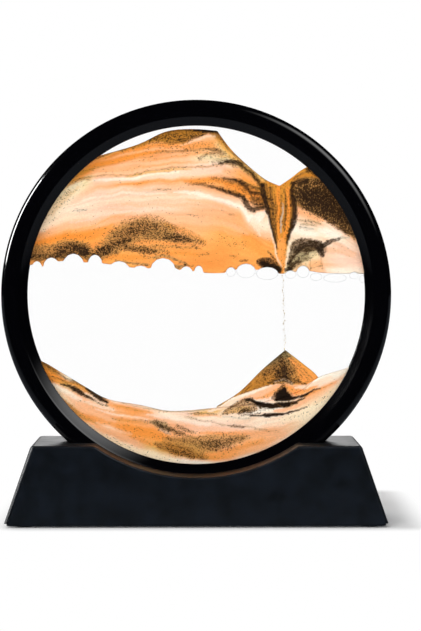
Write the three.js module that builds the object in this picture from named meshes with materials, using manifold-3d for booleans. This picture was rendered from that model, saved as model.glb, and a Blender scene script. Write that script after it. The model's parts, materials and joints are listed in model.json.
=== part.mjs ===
// A round moving sand picture on a black stand.
// Two glass discs hold liquid, sand and air in a ring, which sits in the slot of a hollow base.
// There it can be turned about its own axis or lifted straight out.
// Millimetres, +Z up. The front faces -Y, and the origin is on the table under the middle of the base.
import * as THREE from 'three';
import { mergeVertices } from 'three/addons/utils/BufferGeometryUtils.js';
import Module from 'manifold-3d';

// Ring, which is two halves that meet at a seam around its outside
const ringRadius = 89;
const ringEdgeRound = 3.6;
const ringFlatWidth = 4;
const ringBevelWidth = 4.2;
const ringBevelDepth = 3.8;
const ringLipLand = 0.4;
const ringFaceWall = 2.2;
const ringRimWall = 3;
const rearOpeningGrowth = 0.8;
const seatRibWidth = 4.6;
const seamBevel = 0.35;
const tongueWidth = 0.9;
const tongueHeight = 1.2;

// Glass cell and its seals
const glassThickness = 3;
const glassEdgeBevel = 0.4;
const fillGap = 4;
const spacerWidth = 5.2;
const gasketThickness = 0.8;
const gasketInset = 0.4;
const cushionThickness = 1.4;
const portRadius = 1.25;

// Base
const baseTopWidth = 148.4;
const baseSideLean = 12.3;
const baseHeight = 35.8;
const baseFaceLean = 2;
const stripDepth = 14.7;
const saddleOverlap = 7.8;
const slotFloorHeight = 13.6;
const shellWall = 2.5;
const baseCornerRound = 2.2;
const baseEdgeRound = 1.2;
const saddleCornerRound = 3;

// Bottom cover, its screws and the feet
const flangeHeight = 1.1;
const flangeInset = 1;
const spigotHeight = 1.6;
const bossRadius = 3.6;
const bossClearance = 1;
const screwRadius = 1.5;
const screwLength = 8;
const screwHeadRadius = 2.8;
const screwHeadHeight = 1.4;
const crossWidth = 0.8;
const crossLength = 3.6;
const crossDepth = 0.8;
const footRadius = 5;
const footRecess = 0.7;
const footProud = 0.8;
const footFromScrew = 10.5;

// Gaps between pieces
const slotClearance = 0.3;
const fitGap = 0.3;
const slopeGap = 0.4;
const bubbleFilm = 0.15;
const streamRadius = 0.9;

// Fineness of round forms, how far a cutting form runs past what it cuts,
// and the least distance between the ends of two arcs that meet
const ringSegments = 72;
const holeSegments = 16;
const cornerSteps = 5;
const edgeSteps = 3;
const filletSteps = 4;
const saddleSteps = 24;
const contourSteps = 4;
const streamSides = 8;
const bubbleSides = 12;
const bubbleRings = 6;
const cutReach = 6;
const arcEndGap = 0.5;
const weldDistance = 1e-4;

// Sizes that follow from those above
const cellHalf = glassThickness + fillGap / 2;
const seatDepth = cellHalf + gasketThickness;
const ringHalf = seatDepth + ringLipLand + ringBevelDepth;
const bevelRadius = ringRadius - ringEdgeRound - ringFlatWidth;
const openingRadius = bevelRadius - ringBevelWidth;
const pocketRadius = ringRadius - ringRimWall;
const cellRadius = pocketRadius - 2 * fitGap - cushionThickness;
const cavityRadius = cellRadius - spacerWidth;
const fillRadius = cavityRadius - fitGap;
const slotRadius = ringRadius + slotClearance;
const slotHalf = ringHalf + slotClearance;
const saddleRadius = ringRadius - saddleOverlap;
const baseBottom = footProud;
const baseTop = baseBottom + baseHeight;
const shellBottom = baseBottom + flangeHeight;
const coverTop = shellBottom + spigotHeight;
const ringCentre = baseBottom + slotFloorHeight + slotRadius;
const baseTopDepth = 2 * (slotHalf + stripDepth);
const bossX = baseTopWidth / 2 - shellWall - bossRadius - bossClearance;
const bossY = baseTopDepth / 2 - shellWall - bossRadius - bossClearance;

// Finishes
function finish(color, roughness, metalness = 0, opacity = 1) {
  return new THREE.MeshStandardMaterial({ color, roughness, metalness, opacity, transparent: opacity < 1 });
}
const satinBlack = finish(0x14181c, 0.5);
const glossBlack = finish(0x050608, 0.12);
const softBlack = finish(0x101010, 0.8);
const clearGlass = finish(0xe9f3f2, 0.03, 0, 0.22);
const clearPlastic = finish(0xdfe6e6, 0.2, 0, 0.6);
const clearLiquid = finish(0xf4fafb, 0.05, 0, 0.15);
const airInside = finish(0xffffff, 0.05, 0, 0.3);
const orangeSand = finish(0xe8a268, 0.85);
const ochreSand = finish(0xb8864f, 0.85);
const paleSand = finish(0xefc49a, 0.85);
const zincSteel = finish(0xb9bcc0, 0.35, 1);

const wasm = await Module();
wasm.setup();

// A closed geometry as a solid that can be joined and cut
function solidFrom(geometry) {
  const bare = geometry.clone();
  bare.deleteAttribute('normal');
  bare.deleteAttribute('uv');
  const merged = mergeVertices(bare, weldDistance);
  const vertProperties = merged.attributes.position.array;
  const triVerts = new Uint32Array(merged.index.array);
  return new wasm.Manifold(new wasm.Mesh({ numProp: 3, vertProperties, triVerts }));
}

// The solid back as a geometry with flat faces
function geometryFrom(solid) {
  const mesh = solid.getMesh();
  const geometry = new THREE.BufferGeometry();
  geometry.setAttribute('position', new THREE.BufferAttribute(mesh.vertProperties, 3));
  geometry.setIndex(new THREE.BufferAttribute(mesh.triVerts, 1));
  const faceted = geometry.toNonIndexed();
  faceted.computeVertexNormals();
  return faceted;
}

// A closed form through a row of loops with equal counts of points, each counterclockwise seen from the end
function loft(loops, flatten) {
  const count = loops[0].length;
  const index = [];
  for (let level = 0; level + 1 < loops.length; level++) {
    for (let i = 0; i < count; i++) {
      const here = level * count + i;
      const next = level * count + ((i + 1) % count);
      index.push(here, next, next + count);
      index.push(here, next + count, here + count);
    }
  }
  const last = (loops.length - 1) * count;
  for (const [a, b, c] of THREE.ShapeUtils.triangulateShape(loops[0].map(flatten), [])) {
    index.push(a, c, b);
  }
  for (const [a, b, c] of THREE.ShapeUtils.triangulateShape(loops[loops.length - 1].map(flatten), [])) {
    index.push(last + a, last + b, last + c);
  }
  const geometry = new THREE.BufferGeometry();
  geometry.setFromPoints(loops.flat());
  geometry.setIndex(index);
  return geometry;
}
const fromAbove = (point) => new THREE.Vector2(point.x, point.y);
const fromFront = (point) => new THREE.Vector2(point.x, point.z);

// A level loop with round corners, counterclockwise from above
function roundedLoop(halfWidth, halfDepth, round, z) {
  const loop = [];
  const corners = [[1, -1, -90], [1, 1, 0], [-1, 1, 90], [-1, -1, 180]];
  for (const [sideX, sideY, startDegrees] of corners) {
    for (let step = 0; step <= cornerSteps; step++) {
      const angle = THREE.MathUtils.degToRad(startDegrees + (90 * step) / cornerSteps);
      const x = sideX * (halfWidth - round) + round * Math.cos(angle);
      const y = sideY * (halfDepth - round) + round * Math.sin(angle);
      loop.push(new THREE.Vector3(x, y, z));
    }
  }
  return loop;
}

// A round form about a line along Y through the ring's centre height
function turned(profile) {
  const points = profile.map(([radius, y]) => new THREE.Vector2(radius, y));
  return new THREE.LatheGeometry(points, ringSegments);
}

// A disc or a cutting cylinder about the ring's axis
function discProfile(radius, back, front) {
  return [[0, back], [radius, back], [radius, front], [0, front]];
}

// A washer about the ring's axis
function washerProfile(inner, outer, back, front) {
  return [[inner, back], [outer, back], [outer, front], [inner, front], [inner, back]];
}

// An upright cylinder between two heights
function post(radius, bottom, top, x = 0, y = 0) {
  const geometry = new THREE.CylinderGeometry(radius, radius, top - bottom, holeSegments);
  geometry.rotateX(Math.PI / 2);
  geometry.translate(x, y, (top + bottom) / 2);
  return geometry;
}

// Half the base's width and depth at a height
function baseHalfWidth(z) {
  return baseTopWidth / 2 + (baseSideLean * (baseTop - z)) / baseHeight;
}
function baseHalfDepth(z) {
  return baseTopDepth / 2 + (baseFaceLean * (baseTop - z)) / baseHeight;
}

// The leaning block, with its side edges rounded at the top
function baseBlock() {
  const loops = [];
  const addLoop = (z, inset) => {
    loops.push(roundedLoop(baseHalfWidth(z) - inset, baseHalfDepth(z), baseCornerRound, z));
  };
  addLoop(shellBottom, 0);
  for (let step = 0; step <= edgeSteps; step++) {
    const angle = (Math.PI / 2) * (step / edgeSteps);
    addLoop(baseTop - baseEdgeRound * (1 - Math.sin(angle)), baseEdgeRound * (1 - Math.cos(angle)));
  }
  return solidFrom(loft(loops, fromAbove));
}

// The saddle's outline seen from the front, grown by the rounding of its front and back edges
function saddleOutline(grow) {
  const cornerZ = baseTop - saddleCornerRound;
  const rise = ringCentre - cornerZ;
  const cornerX = Math.sqrt((saddleRadius + saddleCornerRound) ** 2 - rise ** 2);
  const lean = Math.atan2(rise, cornerX);
  const far = baseHalfWidth(baseBottom) + cutReach;
  const outline = [[-far, baseTop - grow]];
  const arc = (x, z, radius, from, to, steps) => {
    for (let step = 0; step <= steps; step++) {
      const angle = from + ((to - from) * step) / steps;
      outline.push([x + radius * Math.cos(angle), z + radius * Math.sin(angle)]);
    }
  };
  const cornerRadius = saddleCornerRound - grow;
  const saddleFrom = Math.PI + lean + arcEndGap / saddleRadius;
  const saddleTo = 2 * Math.PI - lean - arcEndGap / saddleRadius;
  arc(-cornerX, cornerZ, cornerRadius, Math.PI / 2, lean, filletSteps);
  arc(0, ringCentre, saddleRadius + grow, saddleFrom, saddleTo, saddleSteps);
  arc(cornerX, cornerZ, cornerRadius, Math.PI - lean, Math.PI / 2, filletSteps);
  outline.push([far, baseTop - grow], [far, baseTop + cutReach], [-far, baseTop + cutReach]);
  return outline;
}

// The round hollow that is cut over the base from back to front, with its edges eased
function saddleCutter() {
  const loops = [];
  const addLoop = (side, grow, depthAt) => {
    loops.push(saddleOutline(grow).map(([x, z]) => new THREE.Vector3(x, side * depthAt(z), z)));
  };
  const beyond = baseHalfDepth(baseBottom) + cutReach;
  const insets = [];
  for (let step = 0; step <= edgeSteps; step++) {
    const angle = (Math.PI / 2) * (step / edgeSteps);
    insets.push([baseEdgeRound * (1 - Math.cos(angle)), baseEdgeRound * (1 - Math.sin(angle))]);
  }
  addLoop(1, baseEdgeRound, () => beyond);
  for (const [inset, grow] of insets) {
    addLoop(1, grow, (z) => baseHalfDepth(Math.min(z, baseTop)) - inset);
  }
  for (const [inset, grow] of insets.toReversed()) {
    addLoop(-1, grow, (z) => baseHalfDepth(Math.min(z, baseTop)) - inset);
  }
  addLoop(-1, baseEdgeRound, () => beyond);
  return solidFrom(loft(loops, fromFront));
}

// The room inside the base, which keeps an even wall under the saddle and the slot
function baseRoom() {
  const loops = [shellBottom - cutReach, baseTop - shellWall].map((z) =>
    roundedLoop(baseHalfWidth(z) - shellWall, baseHalfDepth(z) - shellWall, baseCornerRound, z));
  const farDepth = baseHalfDepth(baseBottom) + cutReach;
  const underSaddle = turned(discProfile(saddleRadius + shellWall, -farDepth, farDepth));
  const underSlot = turned(discProfile(slotRadius + shellWall, -slotHalf - shellWall, slotHalf + shellWall));
  return solidFrom(loft(loops, fromAbove))
    .subtract(solidFrom(underSaddle.translate(0, 0, ringCentre)))
    .subtract(solidFrom(underSlot.translate(0, 0, ringCentre)));
}

// Where the four screws and the four feet beside them stand
const screwPlaces = [[-bossX, -bossY], [bossX, -bossY], [bossX, bossY], [-bossX, bossY]];
const footPlaces = screwPlaces.map(([x, y]) => [x + Math.sign(x) * footFromScrew, y]);

function makeBaseShell() {
  const slot = turned(discProfile(slotRadius, -slotHalf, slotHalf));
  let shell = baseBlock()
    .subtract(saddleCutter())
    .subtract(solidFrom(slot.translate(0, 0, ringCentre)))
    .subtract(baseRoom());
  const holeTop = coverTop + screwLength;
  for (const [x, y] of screwPlaces) {
    shell = shell.add(solidFrom(post(bossRadius, coverTop, baseTop - shellWall / 2, x, y)));
    shell = shell.subtract(solidFrom(post(screwRadius + fitGap, coverTop - cutReach, holeTop, x, y)));
  }
  return geometryFrom(shell);
}

// Depth of the pocket for a screw's head, measured up from the cover's underside
const headPocket = screwHeadHeight + fitGap;

function makeBottomCover() {
  const flangeHalfWidth = baseHalfWidth(shellBottom) - flangeInset;
  const flangeHalfDepth = baseHalfDepth(shellBottom) - flangeInset;
  const flange = [baseBottom, shellBottom].map((z) =>
    roundedLoop(flangeHalfWidth, flangeHalfDepth, baseCornerRound, z));
  const spigotInset = shellWall + fitGap;
  const spigotHalfWidth = baseHalfWidth(coverTop) - spigotInset;
  const spigotHalfDepth = baseHalfDepth(coverTop) - spigotInset;
  const spigot = [shellBottom - flangeHeight / 2, coverTop].map((z) =>
    roundedLoop(spigotHalfWidth, spigotHalfDepth, baseCornerRound, z));
  let cover = solidFrom(loft(flange, fromAbove)).add(solidFrom(loft(spigot, fromAbove)));
  for (const [x, y] of screwPlaces) {
    const hole = post(screwRadius + fitGap, baseBottom - cutReach, coverTop + cutReach, x, y);
    const pocket = post(screwHeadRadius + fitGap, baseBottom - cutReach, baseBottom + headPocket, x, y);
    cover = cover.subtract(solidFrom(hole)).subtract(solidFrom(pocket));
  }
  for (const [x, y] of footPlaces) {
    const recess = post(footRadius + fitGap, baseBottom - cutReach, baseBottom + footRecess, x, y);
    cover = cover.subtract(solidFrom(recess));
  }
  return geometryFrom(cover);
}

// A pan head screw that points up, with a cross in its head
function makeScrew() {
  const seat = baseBottom + headPocket;
  const head = post(screwHeadRadius, seat - screwHeadHeight, seat);
  const shank = post(screwRadius, seat - screwHeadHeight / 2, seat + screwLength);
  let screw = solidFrom(head).add(solidFrom(shank));
  for (const [width, depth] of [[crossWidth, crossLength], [crossLength, crossWidth]]) {
    const bar = new THREE.BoxGeometry(width, depth, 2 * crossDepth);
    screw = screw.subtract(solidFrom(bar.translate(0, 0, seat - screwHeadHeight)));
  }
  return geometryFrom(screw);
}

// Half of the ring as seen in section, from its seam at y = 0 to its face, with a tongue or a groove
function rimProfile(opening, tongue) {
  const middle = ringRadius - ringRimWall / 2;
  const halfWidth = tongueWidth / 2 + (tongue ? 0 : fitGap);
  const reach = tongue ? tongueHeight : -tongueHeight - fitGap;
  const ribRadius = openingRadius + seatRibWidth;
  const profile = [
    [pocketRadius, 0],
    [pocketRadius, ringFaceWall - ringHalf],
    [ribRadius, ringFaceWall - ringHalf],
    [ribRadius, -seatDepth],
    [opening, -seatDepth],
    [opening, ringBevelDepth - ringHalf],
    [bevelRadius, -ringHalf],
  ];
  const roundSteps = edgeSteps + 1;
  for (let step = 0; step <= roundSteps; step++) {
    const angle = (Math.PI / 2) * (step / roundSteps);
    const radius = ringRadius - ringEdgeRound * (1 - Math.sin(angle));
    profile.push([radius, ringEdgeRound * (1 - Math.cos(angle)) - ringHalf]);
  }
  profile.push(
    [ringRadius, -seamBevel],
    [ringRadius - seamBevel, 0],
    [middle + halfWidth, 0],
    [middle + halfWidth, reach],
    [middle - halfWidth, reach],
    [middle - halfWidth, 0],
    [pocketRadius, 0],
  );
  return profile;
}

function makeFrontRim() {
  return turned(rimProfile(openingRadius, true));
}

function makeRearRim() {
  const mirrored = rimProfile(openingRadius + rearOpeningGrowth, false).map(([radius, y]) => [radius, -y]);
  return turned(mirrored.toReversed());
}

// One glass disc with its edges taken off, from its inner face outwards
function makeGlass(side) {
  const near = fillGap / 2;
  const profile = [
    [0, near],
    [cellRadius - glassEdgeBevel, near],
    [cellRadius, near + glassEdgeBevel],
    [cellRadius, cellHalf - glassEdgeBevel],
    [cellRadius - glassEdgeBevel, cellHalf],
    [0, cellHalf],
  ];
  return side > 0 ? turned(profile) : turned(profile.map(([radius, y]) => [radius, -y]).toReversed());
}

function makeGasket(side, opening) {
  const ribRadius = openingRadius + seatRibWidth;
  const [low, high] = side > 0 ? [cellHalf, seatDepth] : [-seatDepth, -cellHalf];
  return turned(washerProfile(opening + gasketInset, ribRadius, low, high));
}

function makeSpacer() {
  const ring = solidFrom(turned(washerProfile(cavityRadius, cellRadius, -fillGap / 2, fillGap / 2)));
  const port = solidFrom(post(portRadius, cavityRadius - cutReach, cellRadius + cutReach));
  return geometryFrom(ring.subtract(port));
}

function makeFillPlug() {
  return post(portRadius - fitGap, cavityRadius + fitGap, cellRadius - fitGap);
}

function makeCushion() {
  const inner = cellRadius + fitGap;
  const half = cellHalf - fitGap;
  return turned(washerProfile(inner, inner + cushionThickness, -half, half));
}

// Contours of the sand, as shares of the cell's inner radius from its centre, from left to right.
// Each inner list is one smooth run, and a new run starts at a crest or a dip.
const upperSandTop = [
  [[-1.1, 0.7], [-0.78, 0.745], [-0.57, 0.805], [-0.34, 0.872], [-0.18, 0.946], [-0.03, 0.962],
    [0.12, 0.952]],
  [[0.12, 0.952], [0.2, 0.845], [0.3, 0.75], [0.4, 0.67], [0.485, 0.632]],
  [[0.485, 0.632], [0.557, 0.682], [0.63, 0.735], [0.8, 0.81], [1.1, 0.9]],
];
const upperSandBottom = [
  [[-1.1, 0.2], [-0.893, 0.166]],
  [[-0.893, 0.166], [-0.79, 0.2], [-0.639, 0.192]],
  [[-0.639, 0.192], [-0.54, 0.186], [-0.38, 0.163], [-0.273, 0.158]],
  [[-0.273, 0.158], [-0.19, 0.19], [-0.103, 0.15]],
  [[-0.103, 0.15], [0.04, 0.132], [0.172, 0.132], [0.36, 0.15]],
  [[0.36, 0.15], [0.44, 0.136], [0.5, 0.126], [0.56, 0.134], [0.66, 0.142], [0.76, 0.13], [1.1, 0.124]],
];
const duneTop = [
  [[-1.1, -0.31], [-0.903, -0.389], [-0.792, -0.453], [-0.646, -0.541], [-0.517, -0.611], [-0.325, -0.646],
    [-0.149, -0.681], [0.102, -0.663], [0.38, -0.63], [0.6, -0.565], [0.709, -0.485], [0.895, -0.424],
    [1.1, -0.33]],
];
const coneTop = [
  [[0.03, -0.75], [0.1, -0.668], [0.25, -0.572], [0.39, -0.435], [0.52, -0.325]],
  [[0.52, -0.325], [0.62, -0.402], [0.709, -0.48], [0.77, -0.6]],
];
const liquidTop = [[[-1.1, 0.12], [0.35, 0.12], [0.6, 0.1], [1.1, 0.1]]];
const streamTop = [0.499, 0.122];
const streamFoot = [0.52, -0.323];

// Air bubbles: centre, half width and half height, as shares of the cell's inner radius
const bubbles = [
  [-0.928, 0.156, 0.029, 0.04],
  [-0.844, 0.166, 0.046, 0.05],
  [-0.716, 0.172, 0.061, 0.067],
  [-0.59, 0.178, 0.041, 0.055],
  [-0.45, 0.143, 0.061, 0.052],
  [-0.325, 0.131, 0.05, 0.038],
  [-0.194, 0.149, 0.07, 0.064],
  [-0.058, 0.125, 0.036, 0.04],
  [0.014, 0.137, 0.023, 0.032],
  [0.202, 0.134, 0.027, 0.026],
  [0.29, 0.14, 0.055, 0.041],
  [0.413, 0.125, 0.064, 0.036],
  [0.55, 0.119, 0.032, 0.022],
  [0.622, 0.135, 0.036, 0.034],
  [0.699, 0.106, 0.035, 0.022],
  [0.809, 0.099, 0.067, 0.025],
  [0.919, 0.113, 0.026, 0.02],
  [0.968, 0.093, 0.016, 0.021],
];

// A contour's points in millimetres from the cell's centre, moved up by a lift
function contour(runs, lift = 0) {
  const points = [];
  for (const run of runs) {
    const knots = run.map(([x, z]) => new THREE.Vector2(x * cavityRadius, z * cavityRadius + lift));
    const smooth = new THREE.SplineCurve(knots).getPoints(contourSteps * (knots.length - 1));
    points.push(...(points.length ? smooth.slice(1) : smooth));
  }
  return points;
}

// A slab as thick as the gap between the glasses, from its outline seen from the front
function slab(points) {
  const outline = new THREE.Shape(points);
  const geometry = new THREE.ExtrudeGeometry(outline, { depth: fillGap, bevelEnabled: false });
  geometry.rotateX(Math.PI / 2);
  return solidFrom(geometry.translate(0, fillGap / 2, 0));
}

// Everything in the gap below a contour
function below(runs, lift = 0) {
  const line = contour(runs, lift);
  const floor = -cavityRadius - cutReach;
  const left = new THREE.Vector2(line[0].x, floor);
  const right = new THREE.Vector2(line[line.length - 1].x, floor);
  return slab([left, right, ...line.toReversed()]);
}

// The whole space between the glasses
function fullCell() {
  return solidFrom(turned(discProfile(fillRadius, -fillGap / 2, fillGap / 2)));
}

// A bubble that is squeezed between the glasses
function makeBubble([x, z, halfWidth, halfHeight]) {
  const geometry = new THREE.SphereGeometry(1, bubbleSides, bubbleRings);
  geometry.scale(halfWidth * cavityRadius, fillGap / 2 - bubbleFilm, halfHeight * cavityRadius);
  return geometry.translate(x * cavityRadius, 0, z * cavityRadius);
}

// The room that a bubble takes in the sand and the liquid
function bubbleRoom([x, z, halfWidth, halfHeight]) {
  const geometry = new THREE.CylinderGeometry(1, 1, fillGap + cutReach, bubbleSides);
  geometry.scale(halfWidth * cavityRadius + slopeGap, 1, halfHeight * cavityRadius + slopeGap);
  return solidFrom(geometry.translate(x * cavityRadius, 0, z * cavityRadius));
}

// A thin thread of falling sand, longer or shorter at both ends by an overrun
function streamSolid(radius, overrun) {
  const [top, foot] = [streamTop, streamFoot].map(([x, z]) =>
    new THREE.Vector3(x * cavityRadius, 0, z * cavityRadius));
  const run = top.clone().sub(foot);
  const geometry = new THREE.CylinderGeometry(radius, radius, run.length() + 2 * overrun, streamSides);
  geometry.rotateX(Math.PI / 2);
  geometry.rotateY(Math.atan2(run.x, run.z));
  return geometry.translate((top.x + foot.x) / 2, 0, (top.z + foot.z) / 2);
}

const bubbleRooms = bubbles.map(bubbleRoom);

function makeUpperSand() {
  let sand = fullCell().intersect(below(upperSandTop)).subtract(below(upperSandBottom));
  for (const room of bubbleRooms) {
    sand = sand.subtract(room);
  }
  return geometryFrom(sand);
}

function makeLowerSand() {
  return geometryFrom(fullCell().intersect(below(duneTop)));
}

function makeSandCone() {
  return geometryFrom(fullCell().intersect(below(coneTop)).subtract(below(duneTop, slopeGap)));
}

function makeFallingSand() {
  return streamSolid(streamRadius, -slopeGap);
}

function makeUpperLiquid() {
  return geometryFrom(fullCell().subtract(below(upperSandTop, slopeGap)));
}

function makeLowerLiquid() {
  let liquid = fullCell()
    .intersect(below(liquidTop))
    .subtract(below(duneTop, slopeGap))
    .subtract(below(coneTop, slopeGap))
    .subtract(solidFrom(streamSolid(streamRadius + fitGap, cutReach)));
  for (const room of bubbleRooms) {
    liquid = liquid.subtract(room);
  }
  return geometryFrom(liquid);
}

// Assembly
const part = new THREE.Group();
const base = new THREE.Group();
const frame = new THREE.Group();
frame.position.z = ringCentre;
part.add(base, frame);

function addPiece(group, name, geometry, material) {
  const mesh = new THREE.Mesh(geometry, material);
  mesh.name = name;
  group.add(mesh);
  return mesh;
}

addPiece(base, 'base_shell', makeBaseShell(), satinBlack);
addPiece(base, 'bottom_cover', makeBottomCover(), satinBlack);
screwPlaces.forEach(([x, y], i) => {
  addPiece(base, `cover_screw_${i + 1}`, makeScrew(), zincSteel).position.set(x, y, 0);
});
footPlaces.forEach(([x, y], i) => {
  addPiece(base, `rubber_foot_${i + 1}`, post(footRadius, 0, footProud + footRecess, x, y), softBlack);
});

addPiece(frame, 'front_rim', makeFrontRim(), glossBlack);
addPiece(frame, 'rear_rim', makeRearRim(), glossBlack);
addPiece(frame, 'front_gasket', makeGasket(-1, openingRadius), softBlack);
addPiece(frame, 'rear_gasket', makeGasket(1, openingRadius + rearOpeningGrowth), softBlack);
addPiece(frame, 'front_glass', makeGlass(-1), clearGlass);
addPiece(frame, 'rear_glass', makeGlass(1), clearGlass);
addPiece(frame, 'cell_spacer', makeSpacer(), clearPlastic);
addPiece(frame, 'fill_plug', makeFillPlug(), softBlack);
addPiece(frame, 'edge_cushion', makeCushion(), softBlack);
addPiece(frame, 'liquid_above_sand', makeUpperLiquid(), clearLiquid);
addPiece(frame, 'liquid_below_sand', makeLowerLiquid(), clearLiquid);
addPiece(frame, 'upper_sand', makeUpperSand(), orangeSand);
addPiece(frame, 'falling_sand', makeFallingSand(), ochreSand);
addPiece(frame, 'sand_cone', makeSandCone(), ochreSand);
addPiece(frame, 'lower_sand', makeLowerSand(), paleSand);
bubbles.forEach((bubble, i) => {
  addPiece(frame, `air_bubble_${String(i + 1).padStart(2, '0')}`, makeBubble(bubble), airInside);
});

export default part;
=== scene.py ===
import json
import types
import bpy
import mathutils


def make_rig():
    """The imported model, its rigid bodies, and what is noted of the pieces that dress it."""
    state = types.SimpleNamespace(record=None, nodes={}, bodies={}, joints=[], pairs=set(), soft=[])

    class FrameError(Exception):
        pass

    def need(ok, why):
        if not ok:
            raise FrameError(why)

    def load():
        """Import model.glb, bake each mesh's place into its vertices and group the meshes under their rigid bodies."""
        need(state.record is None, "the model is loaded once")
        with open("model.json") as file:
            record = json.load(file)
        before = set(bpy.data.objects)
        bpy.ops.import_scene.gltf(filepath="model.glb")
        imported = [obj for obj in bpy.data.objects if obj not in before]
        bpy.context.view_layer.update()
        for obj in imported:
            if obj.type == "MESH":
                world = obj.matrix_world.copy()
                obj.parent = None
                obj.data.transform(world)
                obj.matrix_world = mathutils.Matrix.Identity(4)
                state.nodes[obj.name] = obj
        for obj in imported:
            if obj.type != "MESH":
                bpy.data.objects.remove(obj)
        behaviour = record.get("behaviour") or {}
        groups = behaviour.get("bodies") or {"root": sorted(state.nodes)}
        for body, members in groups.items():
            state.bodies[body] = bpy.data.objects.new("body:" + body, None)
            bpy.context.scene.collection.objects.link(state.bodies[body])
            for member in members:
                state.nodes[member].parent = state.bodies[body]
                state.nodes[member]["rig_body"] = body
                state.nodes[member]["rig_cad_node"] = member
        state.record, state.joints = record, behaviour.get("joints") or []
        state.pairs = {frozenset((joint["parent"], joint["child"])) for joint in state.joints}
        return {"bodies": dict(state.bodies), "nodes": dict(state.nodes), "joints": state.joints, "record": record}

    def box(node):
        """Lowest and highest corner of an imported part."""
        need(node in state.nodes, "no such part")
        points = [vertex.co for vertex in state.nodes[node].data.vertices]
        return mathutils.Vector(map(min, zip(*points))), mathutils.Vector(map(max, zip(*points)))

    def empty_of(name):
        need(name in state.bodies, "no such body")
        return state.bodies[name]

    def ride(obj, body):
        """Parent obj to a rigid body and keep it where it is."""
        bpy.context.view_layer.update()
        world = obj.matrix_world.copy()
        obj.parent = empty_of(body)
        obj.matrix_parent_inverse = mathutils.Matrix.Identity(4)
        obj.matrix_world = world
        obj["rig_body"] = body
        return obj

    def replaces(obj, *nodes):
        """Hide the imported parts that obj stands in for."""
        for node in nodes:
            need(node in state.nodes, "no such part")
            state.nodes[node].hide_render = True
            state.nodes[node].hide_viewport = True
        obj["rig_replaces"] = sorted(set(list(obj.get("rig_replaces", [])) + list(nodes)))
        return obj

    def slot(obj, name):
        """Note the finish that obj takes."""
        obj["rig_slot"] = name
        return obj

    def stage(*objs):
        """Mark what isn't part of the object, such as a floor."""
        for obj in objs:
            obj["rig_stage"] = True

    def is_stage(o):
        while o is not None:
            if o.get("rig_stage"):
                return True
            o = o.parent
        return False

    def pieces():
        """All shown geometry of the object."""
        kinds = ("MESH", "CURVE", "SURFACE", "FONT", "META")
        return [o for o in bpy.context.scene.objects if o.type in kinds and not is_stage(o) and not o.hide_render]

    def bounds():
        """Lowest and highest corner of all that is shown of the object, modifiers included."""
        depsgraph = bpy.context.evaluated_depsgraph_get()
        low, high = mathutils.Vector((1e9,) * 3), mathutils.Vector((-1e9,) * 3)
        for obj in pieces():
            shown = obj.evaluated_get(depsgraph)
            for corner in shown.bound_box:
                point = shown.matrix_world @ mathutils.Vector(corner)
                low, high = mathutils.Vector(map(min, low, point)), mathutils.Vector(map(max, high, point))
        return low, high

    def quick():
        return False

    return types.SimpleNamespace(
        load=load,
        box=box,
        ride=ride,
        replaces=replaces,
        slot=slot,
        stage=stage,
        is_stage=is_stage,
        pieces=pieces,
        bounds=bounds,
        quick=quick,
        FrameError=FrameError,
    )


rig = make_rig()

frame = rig.load()

import json
import math

import bmesh
import bpy
import numpy as np
from mathutils import Vector

mm = 0.001
weldWithin = 0.002 * mm  # points closer than this are one
nodes = frame["nodes"]
# whatever else the file holds, such as a default cube, goes
for thing in list(bpy.data.objects):
    fromFrame = "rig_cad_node" in thing or thing.name.startswith("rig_")
    if not fromFrame and thing.type in {"MESH", "LIGHT", "CAMERA"}:
        bpy.data.objects.remove(thing)
cadLow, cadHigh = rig.bounds()
scene = bpy.context.scene
scene.view_settings.view_transform = "Standard"
print("frame loaded:", len(nodes), "nodes")


# an sRGB hex colour as the linear values that Blender's sockets take
def linear(hexColour):
    channels = [int(hexColour[i:i + 2], 16) / 255 for i in (1, 3, 5)]
    return tuple(c / 12.92 if c <= 0.04045 else ((c + 0.055) / 1.055) ** 2.4 for c in channels) + (1.0,)


# adds a node; an input given as a socket is linked, a hex colour is converted, any other value is set
def addNode(tree, kind, inputs=None, **settings):
    node = tree.nodes.new(kind)
    for name, value in settings.items():
        setattr(node, name, value)
    for key, value in (inputs or {}).items():
        if isinstance(value, bpy.types.NodeSocket):
            tree.links.new(value, node.inputs[key])
        elif isinstance(value, str) and value.startswith("#"):
            node.inputs[key].default_value = linear(value)
        else:
            node.inputs[key].default_value = value
    return node


# The nodes that recur, each as the socket of its result, and cells as all their sockets. Sizes and depths
# are in mm.
def noiseOver(tree, place, size, detail, roughness=0.5):
    return addNode(tree, "ShaderNodeTexNoise", {
        "Vector": place, "Scale": 1 / (size * mm), "Detail": detail, "Roughness": roughness}).outputs[0]


def cellsOver(tree, place, size):
    return addNode(tree, "ShaderNodeTexVoronoi", {"Vector": place, "Scale": 1 / (size * mm)}).outputs


def mapRange(tree, value, start, end, low=0.0, high=1.0, kind="LINEAR"):
    return addNode(tree, "ShaderNodeMapRange", {
        "Value": value, "From Min": start, "From Max": end, "To Min": low, "To Max": high},
        interpolation_type=kind).outputs[0]


def mixColours(tree, factor, first, second):
    return addNode(tree, "ShaderNodeMix", {"Factor": factor, "A": first, "B": second},
                   data_type="RGBA").outputs["Result"]


def mixNumbers(tree, factor, first, second):
    return addNode(tree, "ShaderNodeMix", {"Factor": factor, "A": first, "B": second},
                   data_type="FLOAT").outputs["Result"]


def mixShaders(tree, share, first, second):
    return addNode(tree, "ShaderNodeMixShader", {0: share, 1: first, 2: second}).outputs[0]


def bumps(tree, height, depth, strength=1.0, invert=False):
    return addNode(tree, "ShaderNodeBump", {
        "Height": height, "Distance": depth * mm, "Strength": strength}, invert=invert).outputs[0]


def calculate(tree, operation, first, second):
    return addNode(tree, "ShaderNodeMath", {0: first, 1: second}, operation=operation).outputs[0]


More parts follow.
